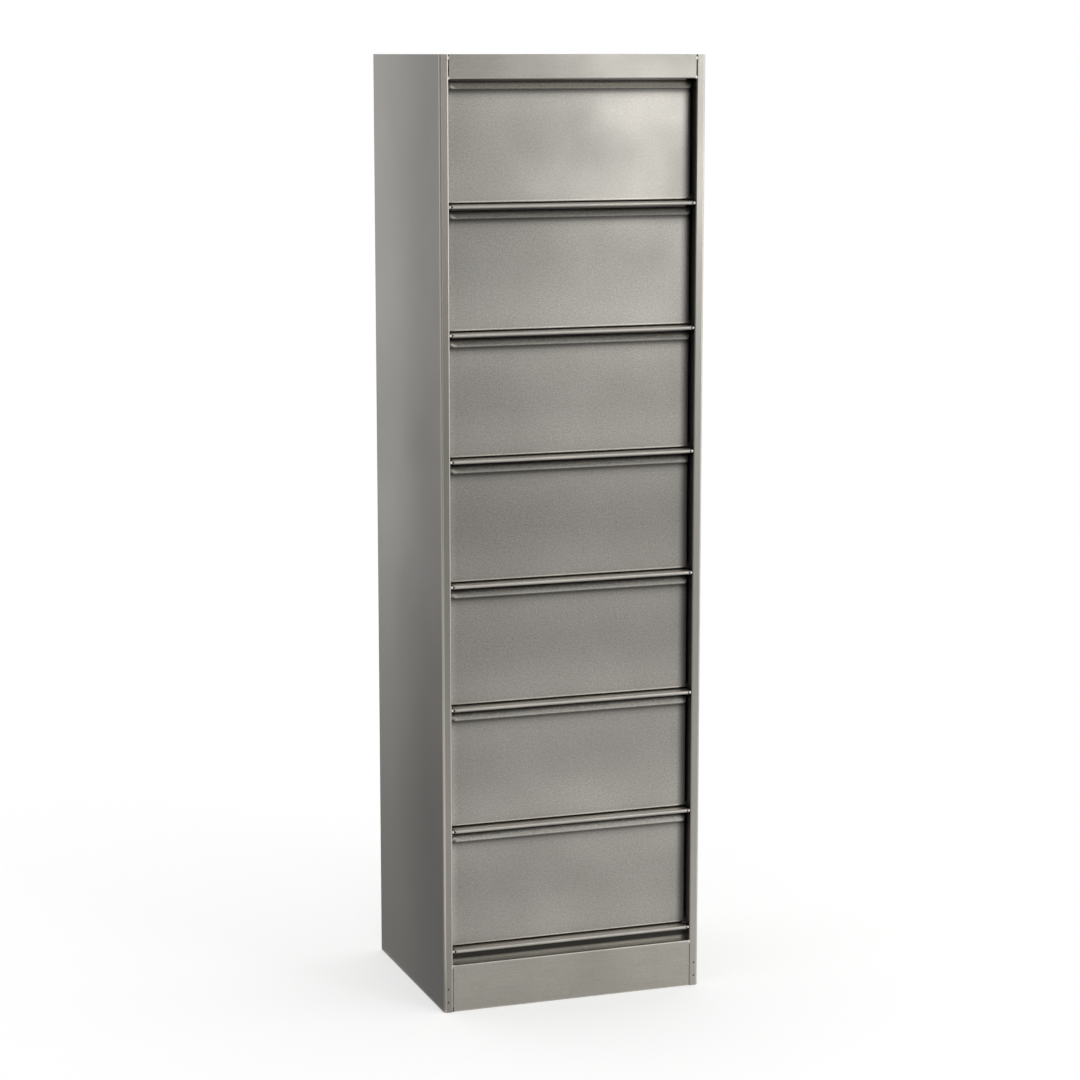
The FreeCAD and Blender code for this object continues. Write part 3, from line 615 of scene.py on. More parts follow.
FINISHES = {
    # Painted shade towards the front and above the middle, and a painted highlight along the edge round the
    # stile
    "side": SheetSteel(
        "side_sheet_brushed_upright", Brushing.UPRIGHT, tone="#908C85", shade="#8C8881", cloud_mm=260.0,
        grain_depth=0.03, streak_depth=0.025, bend_highlight=0.9, bands_from=0.0, bands_pitch=1360.0,
        bands=((0.0, 1.0), (200.0, 1.05), (400.0, 1.03), (600.0, 0.92), (800.0, 0.84), (1000.0, 0.93),
               (1200.0, 1.03)),
        fades=(Fade(Axis.Y, 140.0, -110.0, 0.6), Fade(Axis.Y, -156.5, -158.5, 1.52)),
    ),
    # Painted shade beside the bays, and painted light towards the floor
    "right": SheetSteel(
        "right_sheet_brushed_upright", Brushing.UPRIGHT, tone="#99968F", shade="#94918B", cloud_mm=260.0,
        grain_depth=0.03, streak_depth=0.025,
        fades=(Fade(Axis.X, 184.5, 182.3, 0.5), Fade(Axis.Z, 320.0, 100.0, 1.17)),
    ),
    # Rubbed along its length, with painted shade towards its left end
    "header": SheetSteel(
        "header_sheet_brushed_level", Brushing.LEVEL, tone="#96948D", shade="#8F8D86", streak_depth=0.06,
        fades=(Fade(Axis.X, 60.0, -150.0, 0.86),),
    ),
    # Painted light along its ledge, painted shadow on the riser behind it, painted light to the right and
    # painted shade on its left edge
    "plinth": SheetSteel(
        "plinth_sheet_brushed_level", Brushing.LEVEL, tone="#9E9B93", shade="#98958D",
        fades=(Fade(Axis.Z, 69.4, 69.9, 0.52), Fade(Axis.Z, 71.0, 75.0, 0.13),
               Fade(Axis.Y, -158.6, -157.2, 1.6), Fade(Axis.X, 0.0, 150.0, 1.13),
               Fade(Axis.X, -180.6, -181.1, 0.1)),
    ),
    # Left as it came from the mill, even and dull
    "back": SheetSteel(
        "back_sheet_mill_finish", Brushing.UPRIGHT, tone="#8D8B87", shade="#888682", roughness=0.4,
        cloud_mm=300.0, wave_depth_mm=0.15, grain_depth=0.03,
    ),
    # Painted shade under the nose and a painted highlight on its top
    "shelf": SheetSteel(
        "shelf_sheet_brushed_level", Brushing.LEVEL, bands_from=71.7,
        bands=((13.9, 0.25), (14.6, 0.45), (15.8, 1.0), (17.1, 1.22), (18.4, 1.05), (19.6, 1.0), (19.9, 1.6),
               (60.0, 1.6), (100.0, 1.0), (150.0, 0.25)),
    ),
    # The most mottled sheet, with painted shade up under the lip, painted highlights along its folds, painted
    # shade towards its left, a painted reflection of the dark jambs near its ends, and painted light and shade
    # by height
    "flap": SheetSteel(
        "flap_sheet_mottled", Brushing.CLOUDY, tone="#9C9993", shade="#95928C", grain_depth=0.24,
        grain_mm=1.8,
        bands=((0.0, 1.5), (2.55, 1.5), (2.8, 2.9), (3.4, 2.0), (4.2, 1.35), (5.5, 1.12), (25.0, 1.1),
               (70.0, 0.96), (95.0, 0.95), (132.0, 1.03), (142.0, 1.0), (147.0, 0.84), (149.0, 0.73),
               (150.3, 0.57), (151.3, 0.45), (153.0, 0.32), (154.3, 0.22), (156.5, 0.3), (157.2, 1.45),
               (158.7, 1.33), (160.7, 1.6), (161.7, 1.95), (163.6, 1.4), (164.7, 0.85), (166.0, 0.4)),
        fades=(Fade(Axis.X, 40.0, -170.0, 0.88), Fade(Axis.X, 164.5, 174.5, 0.34),
               Fade(Axis.Z, 300.0, 470.0, 0.94), Fade(Axis.Z, 540.0, 640.0, 0.94),
               Fade(Axis.Z, 770.0, 840.0, 1.12), Fade(Axis.Z, 1040.0, 1110.0, 0.87),
               Fade(Axis.Z, 1147.0, 1149.0, 1.15)),
    ),
    # Beads in a tone paler than the sheet, a painted glint that shows them as small bright spots on the grey
    # sheet
    "weld": SmallMetal("tack_weld_bead", "#F0EEE9", "#C9C5BE", 0.36),
    # Near-black heads, painted shade of their sunk holes, as dark dots at the foot of a stile
    "rivet": SmallMetal("rivet_in_painted_shade", "#3A3835", "#22201E", 0.55),
    # Zinc plate, pale and a little blue beside the sheet
    "zinc": SmallMetal("zinc_plated_steel", "#B9BCC0", "#A3A7AC", 0.36),
    # Fired ferrite, dull charcoal
    "ferrite": SmallMetal("sintered_ferrite", "#3B3B3D", "#2B2B2D", 0.6, metallic=0.0),
    # Dark nylon with a waxy sheen, and dry rubber near black
    "nylon": MouldedPlastic("moulded_nylon", "#2C2B2A", "#232221", 0.45),
    "rubber": MouldedPlastic("moulded_rubber", "#1D1D1E", "#151516", 0.7, ior=1.52),
}


# Case


def along_x(u: float, v: float, w: float) -> Point3:
    """Places a profile of depth and height, carried along the width."""
    return w, u, v


@dataclass
class SidePanel:
    """One side: a sheet bent round the front into a stile and a jamb, and round the back into a flange."""

    side: Side
    steel: Material
    half_width: float = 195.0
    half_depth: float = 160.0
    height: float = 1350.0
    sheet: float = 1.2
    corner: float = 3.0
    edge: float = 1.8
    opening: float = 181.7
    jamb_end: float = -130.0
    flange_end: float = 181.0
    pivot_y: float = -140.0
    hole_half: float = 2.65
    rivet_x: float = 188.8
    rivet_levels: tuple[float, float] = (15.0, 34.5)
    rivet_hole: float = 1.3
    slack: float = 0.01

    def build(self) -> Object:
        """Bends the sheet, leaves out the square pivot holes and drills the foot.

        Returns:
            The finished panel.
        """
        pen = Pen((self.flange_end, self.half_depth), 0.0)
        pen.run(self.half_width - self.corner - self.flange_end).bend(self.corner, -90)
        pen.run(2 * (self.half_depth - self.corner)).bend(self.corner, -90)
        pen.run(self.half_width - self.corner - self.opening - self.edge).bend(self.edge, -90)
        front_run = self.pivot_y - self.hole_half - (self.edge - self.half_depth)
        pen.run(front_run).run(2 * self.hole_half)
        pen.run(self.jamb_end - self.pivot_y - self.hole_half)
        levels = [0.0, self.height - self.sheet, self.height]
        for index in range(BAYS.count):
            levels += [BAYS.hinge(index) - self.hole_half, BAYS.hinge(index) + self.hole_half]
        sign, hand = self.side.value, self.side.name.lower()
        shell = SheetShell(f"{hand}_side_sheet")
        shell.extrude(pen.points, sorted(levels), lambda u, v, w: (sign * u, v, w), self.is_sheet)
        middle = Vector((sign * self.half_width, 0, self.height / 2))
        panel = shell.close(self.sheet, Vector((sign, 0, 0)), middle)
        self.drill(panel)
        return fit(panel, self.steel, CASE, f"{hand}_side_panel")

    def is_sheet(self, centre: Vector) -> bool:
        """Leaves out the pivot holes and the sheet under the top panel's edges.

        Args:
            centre: Centre of a cell in mm.

        Returns:
            Whether there is sheet.
        """
        in_jamb = abs(centre.x) < self.opening + self.slack and centre.y < 0
        in_flange = abs(centre.x) < self.half_width - self.corner and centre.y > self.half_depth - self.slack
        if (in_jamb or in_flange) and centre.z > self.height - self.sheet:
            return False
        if not in_jamb or abs(centre.y - self.pivot_y) > self.hole_half:
            return True
        return all(abs(centre.z - BAYS.hinge(i)) > self.hole_half for i in range(BAYS.count))

    def drill(self, panel: Object) -> None:
        """Cuts the rivet holes in the stile's foot.

        Args:
            panel: The bent panel.
        """
        bm = bmesh.new()
        turn = Matrix.Rotation(math.radians(90), 4, "X")
        for level in self.rivet_levels:
            centre = Vector((self.side.value * self.rivet_x, -self.half_depth, level)) * MM
            bmesh.ops.create_cone(
                bm, cap_ends=True, segments=24, radius1=self.rivet_hole * MM, radius2=self.rivet_hole * MM,
                depth=5 * self.sheet * MM, matrix=Matrix.Translation(centre) @ turn,
            )
        mesh = bpy.data.meshes.new("foot_drill")
        bm.to_mesh(mesh)
        bm.free()
        cutter = new_object("foot_drill", mesh)
        cut = panel.modifiers.new("holes", "BOOLEAN")
        cut.operation = "DIFFERENCE"
        cut.solver = "EXACT"
        cut.object = cutter
        shade(plain_mesh(panel))
        bpy.data.objects.remove(cutter)


@dataclass
class CaseFront:
    """Header rail and plinth, let in between the stiles."""

    level_steel: Material
    plinth_steel: Material
    front: float = -SidePanel.half_depth
    header_half: float = 181.0
    plinth_half: float = 181.4
    sheet: float = 1.2
    edge: float = 1.8
    inside: float = 0.6
    top: float = SidePanel.height
    header_bottom: float = 1317.0
    header_return: float = 34.0
    header_upturn: float = 12.0
    plinth_top: float = 69.3
    plinth_foot: float = 15.0
    ledge: float = 16.0
    riser_top: float = 90.7

    def header(self) -> Object:
        """Bends the header: a face, a return under it and a short upturn behind.

        Returns:
            The finished header.
        """
        pen = Pen((self.front, self.top), -90.0)
        pen.run(self.top - self.header_bottom - self.edge).bend(self.edge, 90)
        pen.run(self.header_return - 2 * self.edge).bend(self.edge, 90)
        pen.run(self.header_upturn - self.edge)
        middle = (self.header_bottom + self.top) / 2
        return self.finish("header_sheet", pen, self.header_half, middle, self.level_steel, "header_rail")

    def plinth(self) -> Object:
        """Bends the plinth: a foot on the floor, a face, a ledge and a riser behind the shadow gap.

        Returns:
            The finished plinth.
        """
        pen = Pen((self.front + self.plinth_foot, 0.0), 180.0)
        pen.run(self.plinth_foot - self.edge).bend(self.edge, -90)
        pen.run(self.plinth_top - 2 * self.edge).bend(self.edge, -90)
        pen.run(self.ledge - self.edge - self.inside).bend(self.inside, 90)
        pen.run(self.riser_top - self.plinth_top - self.inside)
        middle = self.plinth_top / 2
        return self.finish("plinth_sheet", pen, self.plinth_half, middle, self.plinth_steel, "plinth")

    def finish(self, name: str, pen: Pen, half: float, level: float, steel: Material, node: str) -> Object:
        """Carries a traced profile from stile to stile and dresses it.

        Args:
            name: Name of the piece.
            pen: Traced profile.
            half: Half the piece's length in mm.
            level: A height on the front face, in mm.
            steel: Finish of the sheet.
            node: CAD node that the piece stands for.

        Returns:
            The finished piece.
        """
        shell = SheetShell(name)
        shell.extrude(pen.points, [-half, *INNER, half], along_x)
        piece = shell.close(self.sheet, Vector((0, -1, 0)), Vector((0, self.front, level)))
        return fit(piece, steel, CASE, node)


@dataclass
class CaseBack:
    """Back panel and the top panel that is let in between the sides."""

    steel: Material
    top_steel: Material
    back_half: float = 191.8
    back_face: float = 158.8
    back_sheet: float = 0.8
    back_edge: float = 1.4
    back_foot: float = 15.0
    seat: float = 1348.8
    top: float = SidePanel.height
    top_half: float = 193.8
    top_front: float = -158.8
    edge: float = 1.8
    flange: float = 15.0
    sheet: float = 1.2
    side_flange: tuple[float, float] = (-130.0, 150.0)
    front_flange: float = 181.3
    back_flange: float = 185.8

    def back(self) -> Object:
        """Bends the back panel with its foot.

        Returns:
            The finished panel.
        """
        pen = Pen((self.back_face - self.back_foot, 0.0), 0.0)
        pen.run(self.back_foot - self.back_edge).bend(self.back_edge, 90)
        pen.run(self.seat - self.back_edge)
        shell = SheetShell("back_sheet")
        shell.extrude(pen.points, [-self.back_half, *INNER, self.back_half], along_x)
        piece = shell.close(self.back_sheet, Vector((0, 1, 0)), Vector((0, self.back_face, self.seat / 2)))
        return fit(piece, self.steel, CASE, "back_panel")

    def lid(self) -> Object:
        """Bends the top panel: a plate with flanges down its front and sides, and one inside the back panel.

        Returns:
            The finished panel.
        """
        bend_x, bend_y = self.top_half - self.edge, self.top_front + self.edge
        low, high = self.side_flange
        front = [-self.front_flange, self.front_flange]
        columns = [-self.top_half, -bend_x, *front, bend_x, self.top_half]
        rows = [self.top_front, bend_y, low, high, self.back_face]
        shell = SheetShell("top_sheet")
        shell.strip(
            [[(x, y, self.top) for x in columns] for y in rows],
            lambda c: not (abs(c.x) > bend_x and low < c.y < high or c.y < bend_y and abs(c.x) < front[1]),
        )
        pen = Pen((0.0, 0.0), 0.0)
        pen.bend(self.edge, -90).run(self.flange - self.edge)
        for sign in (-1, 1):
            shell.extrude(
                pen.points, [low, high], lambda u, v, w, s=sign: (s * (bend_x + u), w, self.top + v)
            )
        shell.extrude(pen.points, front, lambda u, v, w: (w, bend_y - u, self.top + v))
        shell.strip([[(x, self.back_face - self.back_sheet, z) for x in (-self.back_flange, self.back_flange)]
                     for z in (self.seat - self.flange, self.seat)])
        piece = shell.close(self.sheet, Vector((0, 0, 1)), Vector((0, 0, self.top)))
        return fit(piece, self.top_steel, CASE, "top_panel")


# Shelves and flaps


@dataclass
class Shelf:
    """One fixed shelf: a rolled nose, a tongue between the jambs and a flanged plate behind them."""

    index: int
    steel: Material
    sheet: float = 1.0
    nose: float = 3.0
    nose_y: float = -157.0
    return_end: float = -149.0
    tongue: float = 178.7
    tongue_end: float = -129.5
    plate_half: float = CaseBack.top_half
    plate_back: float = 158.0
    edge: float = 1.6
    flange: float = 12.0
    side_flange_end: float = 150.0
    back_flange: float = CaseBack.back_flange
    outer: float = 172.0

    @property
    def node(self) -> str:
        """Names the CAD node of this shelf."""
        return "bottom_shelf" if self.index == 0 else f"shelf_{self.index + 1}"

    def nose_half(self, y: float) -> float:
        """Gives half the nose's width at a depth, with its ends rounded in plan."""
        ahead = max(0.0, self.nose_y - y)
        return self.tongue - self.nose + math.sqrt(max(0.0, self.nose**2 - ahead**2))

    def build(self) -> Object:
        """Rolls the nose and folds the flanges.

        Returns:
            The finished shelf.
        """
        top = BAYS.shelf_top(self.index)
        pen = Pen((self.return_end, top - 2 * self.nose), 180.0)
        pen.run(self.return_end - self.nose_y).bend(self.nose, -180)
        pen.run(self.tongue_end - self.nose_y)
        middle = (-self.outer, *INNER, self.outer)
        shell = SheetShell(f"{self.node}_sheet")
        rows = ((self.nose_half(y), y, z) for y, z in pen.points)
        shell.strip([[(x, y, z) for x in (-half, *middle, half)] for half, y, z in rows])
        bend_x, bend_y = self.plate_half - self.edge, self.plate_back - self.edge
        columns = [-bend_x, -self.back_flange, -self.tongue, *middle, self.tongue, self.back_flange, bend_x]
        shell.strip([[(x, y, top) for x in columns] for y in (self.tongue_end, self.side_flange_end, bend_y)])
        fold = Pen((0.0, 0.0), 0.0)
        fold.bend(self.edge, -90).run(self.flange - self.edge)
        ends = [self.tongue_end, self.side_flange_end]
        for sign in (-1, 1):
            shell.extrude(fold.points, ends, lambda u, v, w, s=sign: (s * (bend_x + u), w, top + v))
        shell.extrude(fold.points, columns[1:-1], lambda u, v, w: (w, bend_y + u, top + v))
        piece = shell.close(self.sheet, Vector((0, 0, 1)), Vector((0, 0, top)))
        return fit(piece, self.steel, CASE, self.node)


@dataclass
class Flap:
    """One flap: a face with a bent foot, folded ends, and a finger lip folded over forwards along its top."""

    index: int
    steel: Material
    hinge_y: float = SidePanel.pivot_y
    sheet: float = 1.0
    face: float = -4.0
    bottom: float = -2.8
    foot_bend: float = 2.0
    back: float = 8.0
    half: float = 179.5
    edge: float = 1.3
    fold_level: float = 161.4
    fold_inside: float = 0.6
    fold_turn: float = 148.0
    lip_length: float = 12.35
    lip_corner: float = 8.0
    corner_steps: int = 8
    ear_bevel: float = 6.0
    ear_foot: float = 0.6
    arris: float = 0.15
    outer: float = 168.0
    slack: float = 0.001

    def build(self) -> Object:
        """Bends the face, foot, ends and lip.

        Returns:
            The finished flap.
        """
        level = BAYS.hinge(self.index)
        node = f"flap_{self.index + 1}"
        shell = SheetShell(f"{node}_sheet")
        inner = self.half - self.edge

        def place(x: float, y: float, z: float) -> Point3:
            """Places a point given from the pivot."""
            return x, self.hinge_y + y, level + z

        pen = Pen((self.back, self.bottom), 180.0)
        pen.run(self.back - self.face - self.foot_bend).bend(self.foot_bend, -90)
        foot_top = pen.at[1]
        ear_top = self.fold_level - self.ear_bevel
        pen.run(ear_top - foot_top).run(self.ear_bevel)
        pen.bend(self.fold_inside, self.fold_turn).run(self.lip_length - self.lip_corner)
        shell.strip([[place(x, y, z) for x in self.columns(inner)] for y, z in pen.points])

        # The lip's free corners are rounded by rows that narrow towards the tip
        rows = []
        for step in range(self.corner_steps + 1):
            angle = math.radians(90 * step / self.corner_steps)
            y, z = pen.ahead(self.lip_corner * math.sin(angle))
            half = inner - self.lip_corner * (1 - math.cos(angle))
            rows.append([place(x, y, z) for x in self.columns(half)])
        shell.strip(rows)

        # Each end is folded back, and its top corner is bevelled
        heights = sorted({z for y, z in pen.points if abs(y - self.face) < self.slack})
        for sign in (-1, 1):
            plan = Pen((inner, self.face), 0.0)
            plan.bend(self.edge, 90)
            start = plan.at[1]
            beside = start + plan.support
            grid = []
            for z in heights:
                side = plan.points + [(self.half, beside), (self.half, self.back - max(0.0, z - ear_top))]
                grid.append([place(sign * x, y, z) for x, y in side])
            shell.strip(grid)
            bend_end = self.face + self.foot_bend
            foot = [(foot_top, start), (self.bottom + self.ear_foot, start), (self.bottom, bend_end)]
            shell.strip([[place(sign * self.half, y, z) for y in (front, max(front, beside), self.back)]
                         for z, front in foot])

        middle = Vector((0, self.hinge_y + self.face, level + self.fold_level / 2))
        piece = shell.close(self.sheet, Vector((0, -1, 0)), middle, self.arris)
        return fit(piece, self.steel, node, node)

    def columns(self, half: float) -> list[float]:
        """Gives the places across the flap where its rows have points."""
        return [-half, -self.outer, *INNER, self.outer, half]


# Welds and rivets, set out by Geometry Nodes


@dataclass(frozen=True)
class BeadRow:
    """Beads of one kind on both sides of the cabinet, in mm. The inset is from the fronts to their centres."""

    name: str
    half_width: float
    inset: float
    levels: tuple[float, ...]
    radius: float
    flatness: Point3
    seed: int
    roughening: float = 0.3
    spread: float = 0.08
    slot: str = "case_steel"


class Beading:
    """A Geometry Nodes tree that sets a small uneven bead on every point of a mesh."""

    INPUTS = {
        "Geometry": "NodeSocketGeometry",
        "Radius": "NodeSocketFloat",
        "Flatness": "NodeSocketVector",
        "Roughening": "NodeSocketFloat",
        "Spread": "NodeSocketFloat",
        "Seed": "NodeSocketInt",
        "Material": "NodeSocketMaterial",
    }
    LUMPS_PER_METRE = 900.0

    def __init__(self, name: str) -> None:
        """Builds the tree, with its inputs and its output.

        Args:
            name: Name of the tree.
        """
        self.tree = bpy.data.node_groups.new(name, "GeometryNodeTree")
        face = self.tree.interface
        self.sockets = {
            label: face.new_socket(name=label, in_out="INPUT", socket_type=kind).identifier
            for label, kind in self.INPUTS.items()
        }
        face.new_socket(name="Geometry", in_out="OUTPUT", socket_type="NodeSocketGeometry")
        self.link()

    def link(self) -> None:
        """Adds and links the nodes: a small ball, flattened and roughened, on each point, then made real."""
        tree = self.tree
        given = add_node(tree, "NodeGroupInput").outputs
        ball = add_node(tree, "GeometryNodeMeshIcoSphere", {"Radius": given["Radius"], "Subdivisions": 3})
        place = add_node(tree, "GeometryNodeInputPosition")
        grain = {"Vector": place, "Scale": self.LUMPS_PER_METRE, "Detail": 1.0}
        lumps = add_node(tree, "ShaderNodeTexNoise", grain).outputs["Color"]
        centred = add_node(tree, "ShaderNodeVectorMath", {0: lumps, 1: (0.5, 0.5, 0.5)}, operation="SUBTRACT")
        uneven = {0: centred, "Scale": given["Roughening"]}
        push = add_node(tree, "ShaderNodeVectorMath", uneven, operation="SCALE")
        lumpy = add_node(tree, "GeometryNodeSetPosition", {"Geometry": ball, "Offset": push})
        flat = add_node(tree, "GeometryNodeTransform", {"Geometry": lumpy, "Scale": given["Flatness"]})
        least, most = (
            add_node(tree, "ShaderNodeMath", {0: 1.0, 1: given["Spread"]}, operation=change)
            for change in ("SUBTRACT", "ADD")
        )
        between = {2: least, 3: most, "Seed": given["Seed"]}
        size = add_node(tree, "FunctionNodeRandomValue", between, data_type="FLOAT").outputs[1]
        spread = {"Points": given["Geometry"], "Instance": flat, "Scale": size}
        beads = add_node(tree, "GeometryNodeInstanceOnPoints", spread)
        real = add_node(tree, "GeometryNodeRealizeInstances", {"Geometry": beads})
        smooth = add_node(tree, "GeometryNodeSetShadeSmooth", {"Geometry": real})
        finish = {"Geometry": smooth, "Material": given["Material"]}
        coloured = add_node(tree, "GeometryNodeSetMaterial", finish)
        add_node(tree, "NodeGroupOutput", {"Geometry": coloured})

    def set_out(self, row: BeadRow, metal: Material) -> Object:
        """Sets out a row of beads on both sides.

        Args:
            row: Places and sizes of the beads.
            metal: Their finish.

        Returns:
            The beads as one plain mesh.
        """
        y = (row.inset - SidePanel.half_depth) * MM
        points = [(side.value * row.half_width * MM, y, z * MM) for side in Side for z in row.levels]
        mesh = bpy.data.meshes.new(row.name)
        mesh.from_pydata(points, [], [])
        obj = new_object(row.name, mesh)
        modifier = obj.modifiers.new("beads", "NODES")
        modifier.node_group = self.tree
        values = {"Radius": row.radius * MM, "Flatness": row.flatness, "Roughening": row.roughening * MM,
                  "Spread": row.spread, "Seed": row.seed, "Material": metal}
        for label, value in values.items():
            modifier[self.sockets[label]] = value
        return plain_mesh(obj)


@dataclass
class Joining:
    """Tack welds at the ends of the noses, header and plinth, and the rivets at the stiles' feet."""

    weld: Material
    rivet: Material
    nose_end: float = 180.2
    seam: float = 181.5

    def build(self) -> list[Object]:
        """Sets out the welds and rivets.

        Returns:
            The pieces made.
        """
        noses = tuple(BAYS.shelf_top(i) - Shelf.nose for i in range(BAYS.count))
        rows = (
            BeadRow("nose_welds", self.nose_end, 2.9, noses, 2.5, (0.9, 0.95, 0.9), seed=11, roughening=0.4),
            BeadRow("header_welds", self.seam, 0.8, (1318.6, 1345.0), 2.5, (0.85, 0.27, 0.9), seed=23),
            BeadRow("plinth_welds", self.seam, 0.9, (66.6,), 3.2, (0.9, 0.24, 0.9), seed=31),
            BeadRow("foot_rivets", SidePanel.rivet_x, 0.85, SidePanel.rivet_levels, 1.22, (1.0, 0.4, 1.0),
                    seed=5, roughening=0.0, spread=0.0, slot="fastener_steel"),
        )
        beading = Beading("bead_on_points")
        made = []
        for row in rows:
            piece = beading.set_out(row, self.rivet if row.slot == "fastener_steel" else self.weld)
            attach(piece, CASE)
            made.append(piece)
        return made


# Parts kept from the frame


@dataclass
class Fittings:
    """Pivots, stops, catches and gussets, which keep their shape and get their real finish."""

    finishes: dict[str, Material]

    def dress(self) -> list[str]:
        """Gives each kept part its finish.

        Returns:
            Names of the parts.
        """
        done = []
        for name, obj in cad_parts.items():
            if obj.hide_render:
                continue
            kind = next((k for k in self.finishes if name.startswith(k)), None)
            if kind is None:
                log.warning("%s has no finish of its own", name)
                continue
            for number in range(max(1, len(obj.material_slots))):
                if len(obj.material_slots) <= number:
                    obj.data.materials.append(self.finishes[kind])
                else:
                    obj.material_slots[number].material = self.finishes[kind]
            done.append(name)
        return done


# Studio


def around(radius: float, angle: float, height: float) -> Point3:
    """Gives a point about the cabinet in metres, at degrees from straight ahead of it towards its right."""
    turn = math.radians(angle)
    return radius * math.sin(turn), -radius * math.cos(turn), height


def wall(radius: float, start: float, finish: float, height: float) -> tuple[Point3, ...]:
    """Gives the corners of an upright card about the cabinet, from one angle to another."""
    corners = ((start, 0.0), (finish, 0.0), (finish, height), (start, height))
    return tuple(around(radius, angle, z) for angle, z in corners)


@dataclass(frozen=True)
class Card:
    """A card beside the set that only shows in the metal's reflections.

    Its brightness goes from near to far over its reach, in metres from the cabinet.
    """

    name: str
    corners: tuple[Point3, ...]
    near: float
    far: float
    reach: tuple[float, float] = (1.0, 5.0)

    def material(self) -> Material:
        """Makes the card's glow.

        Returns:
            The finished material.
        """
        material, tree = new_material(self.name)
        place = add_node(tree, "ShaderNodeTexCoord").outputs["Object"]
        away = add_node(tree, "ShaderNodeVectorMath", {0: place}, operation="LENGTH").outputs["Value"]
        way = {"Value": away, "From Min": self.reach[0], "From Max": self.reach[1]}
        level = add_node(tree, "ShaderNodeMapRange", {**way, "To Min": self.near, "To Max": self.far})
        glow = add_node(tree, "ShaderNodeEmission", {"Strength": level})
        add_node(tree, "ShaderNodeOutputMaterial", {"Surface": glow})
        return material


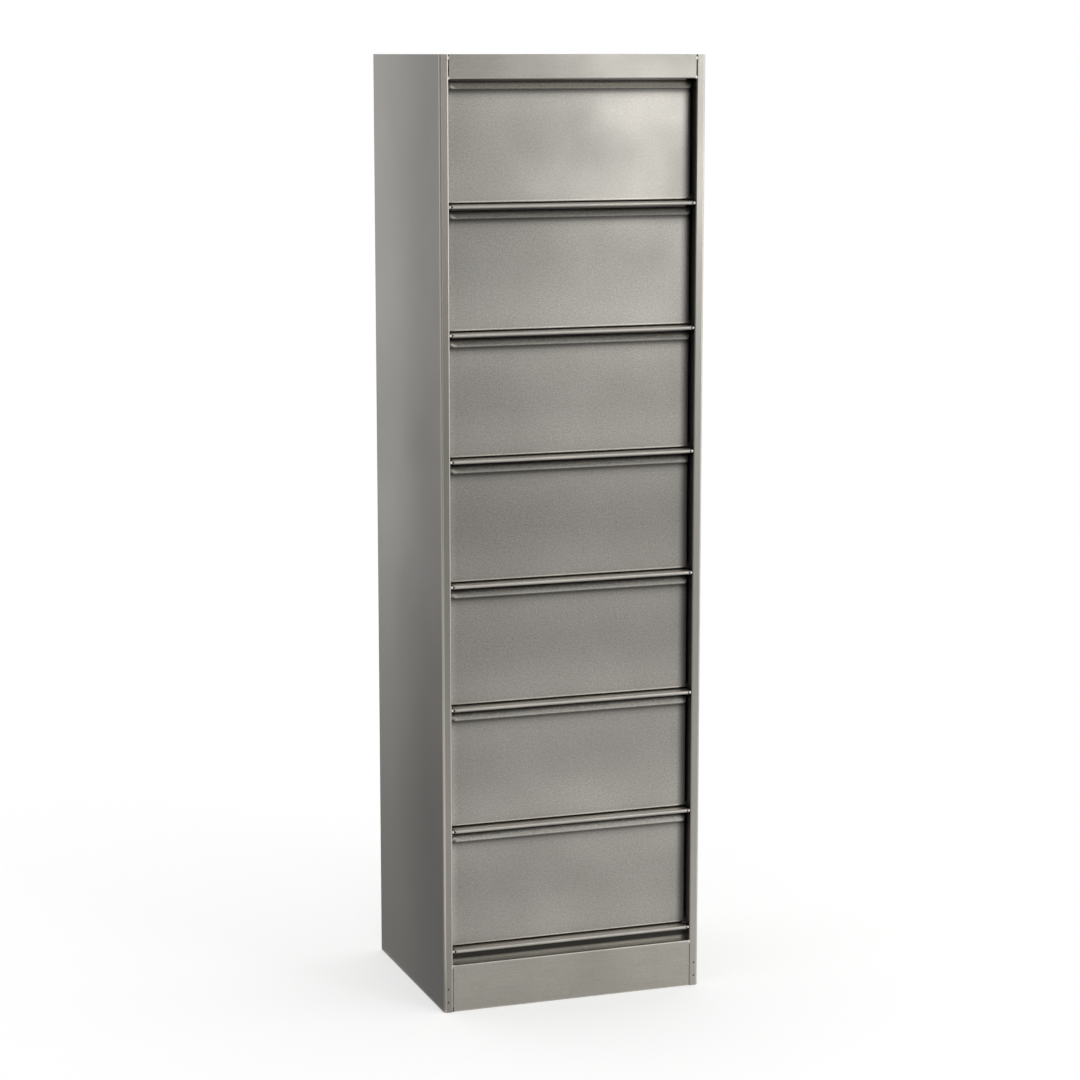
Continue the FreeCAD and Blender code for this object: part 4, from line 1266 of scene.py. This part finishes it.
@dataclass
class Studio:
    """White sweep, a soft lamp, cards and the camera, in metres and degrees."""

    floor_size: float = 60.0
    floor_tone: float = 0.82
    floor_lift: float = 0.42
    plain_light: float = 0.72
    lens_mm: float = 97.01
    sensor_mm: float = 36.0
    camera_place: Point3 = (-1.393, -3.962, 1.356)
    yaw: float = 19.45
    pitch: float = -9.56
    sight: float = 200.0
    key_place: Point3 = (1.4, -2.65, 1.4)
    key_aim: Point3 = (0.1, -0.1, 1.2)
    key_size: tuple[float, float] = (0.8, 0.9)
    key_watts: float = 8.5
    cards: tuple[Card, ...] = (
        Card("front_card", wall(6, 11, -25, 3.6), 0.25, 0.25),
        Card("left_card", wall(6, -25, -80, 3.6), 0.1, 0.1),
        Card("back_left_floor", ((-0.1955, -0.3, 0.002), (-4.0, -0.3, 0.002), (-4.0, 6.0, 0.002),
                                 (-0.1955, 6.0, 0.002)), 0.36, 0.85),
        Card("back_left_wall", wall(8, -130, -180, 5), 0.88, 0.88),
        Card("right_strip", wall(3, 50, 72, 2.6), 3.0, 3.0),
        Card("front_floor_band", (around(2.4, -10, 0.004), around(6.4, -10, 0.004), around(6.4, 45, 0.004),
                                  around(2.4, 45, 0.004)), 0.68, 0.68),
    )

    def seen(self, tree: NodeTree) -> Node:
        """Adds what tells whether the camera or the metal looks.

        Args:
            tree: Node tree of the floor or the world.

        Returns:
            A node that gives 1 for a camera or glossy ray, and else 0.
        """
        path = add_node(tree, "ShaderNodeLightPath").outputs
        rays = {0: path["Is Camera Ray"], 1: path["Is Glossy Ray"]}
        return add_node(tree, "ShaderNodeMath", rays, operation="MAXIMUM")

    def world(self) -> None:
        """Makes a white background that metal reflects, over a plain soft light."""
        world = bpy.data.worlds.new("white_studio")
        bpy.context.scene.world = world
        world.use_nodes = True
        tree = world.node_tree
        tree.nodes.clear()
        through = add_node(tree, "ShaderNodeLightPath").outputs["Is Transmission Ray"]
        shown = add_node(tree, "ShaderNodeMath", {0: self.seen(tree), 1: through}, operation="MAXIMUM")
        light = {"To Min": self.plain_light, "To Max": 1.0}
        level = add_node(tree, "ShaderNodeMapRange", {"Value": shown, **light})
        sky = add_node(tree, "ShaderNodeBackground", {"Color": (1.0, 1.0, 1.0, 1.0), "Strength": level})
        add_node(tree, "ShaderNodeOutputWorld", {"Surface": sky})

    def floor(self) -> None:
        """Lays the pale floor, which reads white and keeps a soft contact shadow."""
        material, tree = new_material("painted_studio_floor")
        tone = (self.floor_tone, self.floor_tone, self.floor_tone, 1.0)
        paint = add_node(tree, "ShaderNodeBsdfDiffuse", {"Color": tone})
        shown = {0: self.seen(tree), 1: self.floor_lift}
        lift = add_node(tree, "ShaderNodeMath", shown, operation="MULTIPLY")
        glow = add_node(tree, "ShaderNodeEmission", {"Color": (1.0, 1.0, 1.0, 1.0), "Strength": lift})
        both = add_node(tree, "ShaderNodeAddShader", {0: paint, 1: glow})
        add_node(tree, "ShaderNodeOutputMaterial", {"Surface": both})
        half = self.floor_size / 2
        corners = ((-half, -half, 0.0), (half, -half, 0.0), (half, half, 0.0), (-half, half, 0.0))
        self.screen("studio_floor", corners, material)

    def hang_cards(self) -> None:
        """Hangs the cards, which only the metal's reflections see."""
        for card in self.cards:
            obj = self.screen(card.name, card.corners, card.material())
            obj.visible_camera = False
            obj.visible_diffuse = False
            obj.visible_shadow = False
            obj.visible_transmission = False

    def screen(self, name: str, corners: Sequence[Point3], material: Material) -> Object:
        """Puts up a flat piece of the set.

        Args:
            name: Name of the piece.
            corners: Its corners in order.
            material: Its finish.

        Returns:
            The piece.
        """
        mesh = bpy.data.meshes.new(name)
        mesh.from_pydata(corners, [], [tuple(range(len(corners)))])
        mesh.materials.append(material)
        return new_object(name, mesh)

    def key(self) -> None:
        """Hangs the soft box at the cabinet's right."""
        data = bpy.data.lights.new("key_right", "AREA")
        data.shape = "RECTANGLE"
        data.size, data.size_y = self.key_size
        data.energy = self.key_watts
        obj = new_object("key_right", data)
        obj.location = self.key_place
        ahead = Vector(self.key_aim) - Vector(self.key_place)
        obj.rotation_euler = ahead.to_track_quat("-Z", "Y").to_euler()
        obj.visible_camera = False

    def camera(self) -> None:
        """Sets the camera at the photograph's angle, for a square frame of 1080 by 1080."""
        data = bpy.data.cameras.new("camera")
        data.lens, data.sensor_width, data.sensor_fit = self.lens_mm, self.sensor_mm, "HORIZONTAL"
        data.clip_end = self.sight
        obj = new_object("camera", data)
        yaw, pitch = math.radians(self.yaw), math.radians(self.pitch)
        ahead = Vector((math.sin(yaw) * math.cos(pitch), math.cos(yaw) * math.cos(pitch), math.sin(pitch)))
        obj.location = self.camera_place
        obj.rotation_euler = ahead.to_track_quat("-Z", "Y").to_euler()
        bpy.context.scene.camera = obj

    def build(self) -> None:
        """Sets up the whole studio."""
        bpy.context.scene.view_settings.view_transform = "Standard"
        self.world()
        self.floor()
        self.hang_cards()
        self.key()
        self.camera()


def main() -> None:
    """Builds the cabinet's pieces in order, dresses them and sets up the studio."""
    logging.basicConfig(level=logging.INFO, format="%(name)s: %(message)s")
    made = {key: finish.build() for key, finish in FINISHES.items()}
    pieces = [SidePanel(Side.LEFT, made["side"]).build(), SidePanel(Side.RIGHT, made["right"]).build()]
    front = CaseFront(made["header"], made["plinth"])
    rear = CaseBack(made["back"], made["side"])
    pieces += [front.header(), front.plinth(), rear.back(), rear.lid()]
    for index in range(BAYS.count):
        pieces += [Shelf(index, made["shelf"]).build(), Flap(index, made["flap"]).build()]
    pieces += Joining(made["weld"], made["rivet"]).build()
    for piece in pieces:
        log.info("%s", piece.name)
    kept = {
        "foot_gusset": made["side"],
        "stop_rail": made["shelf"],
        "stop_pads": made["rubber"],
        "magnet_catch": made["nylon"],
        "catch_poles": made["zinc"],
        "catch_magnets": made["ferrite"],
        "pivot_bushes": made["nylon"],
        "pivot_pins": made["zinc"],
    }
    for name in Fittings(kept).dress():
        log.info("kept %s", name)
    Studio().build()


if __name__ == "__main__":
    main()
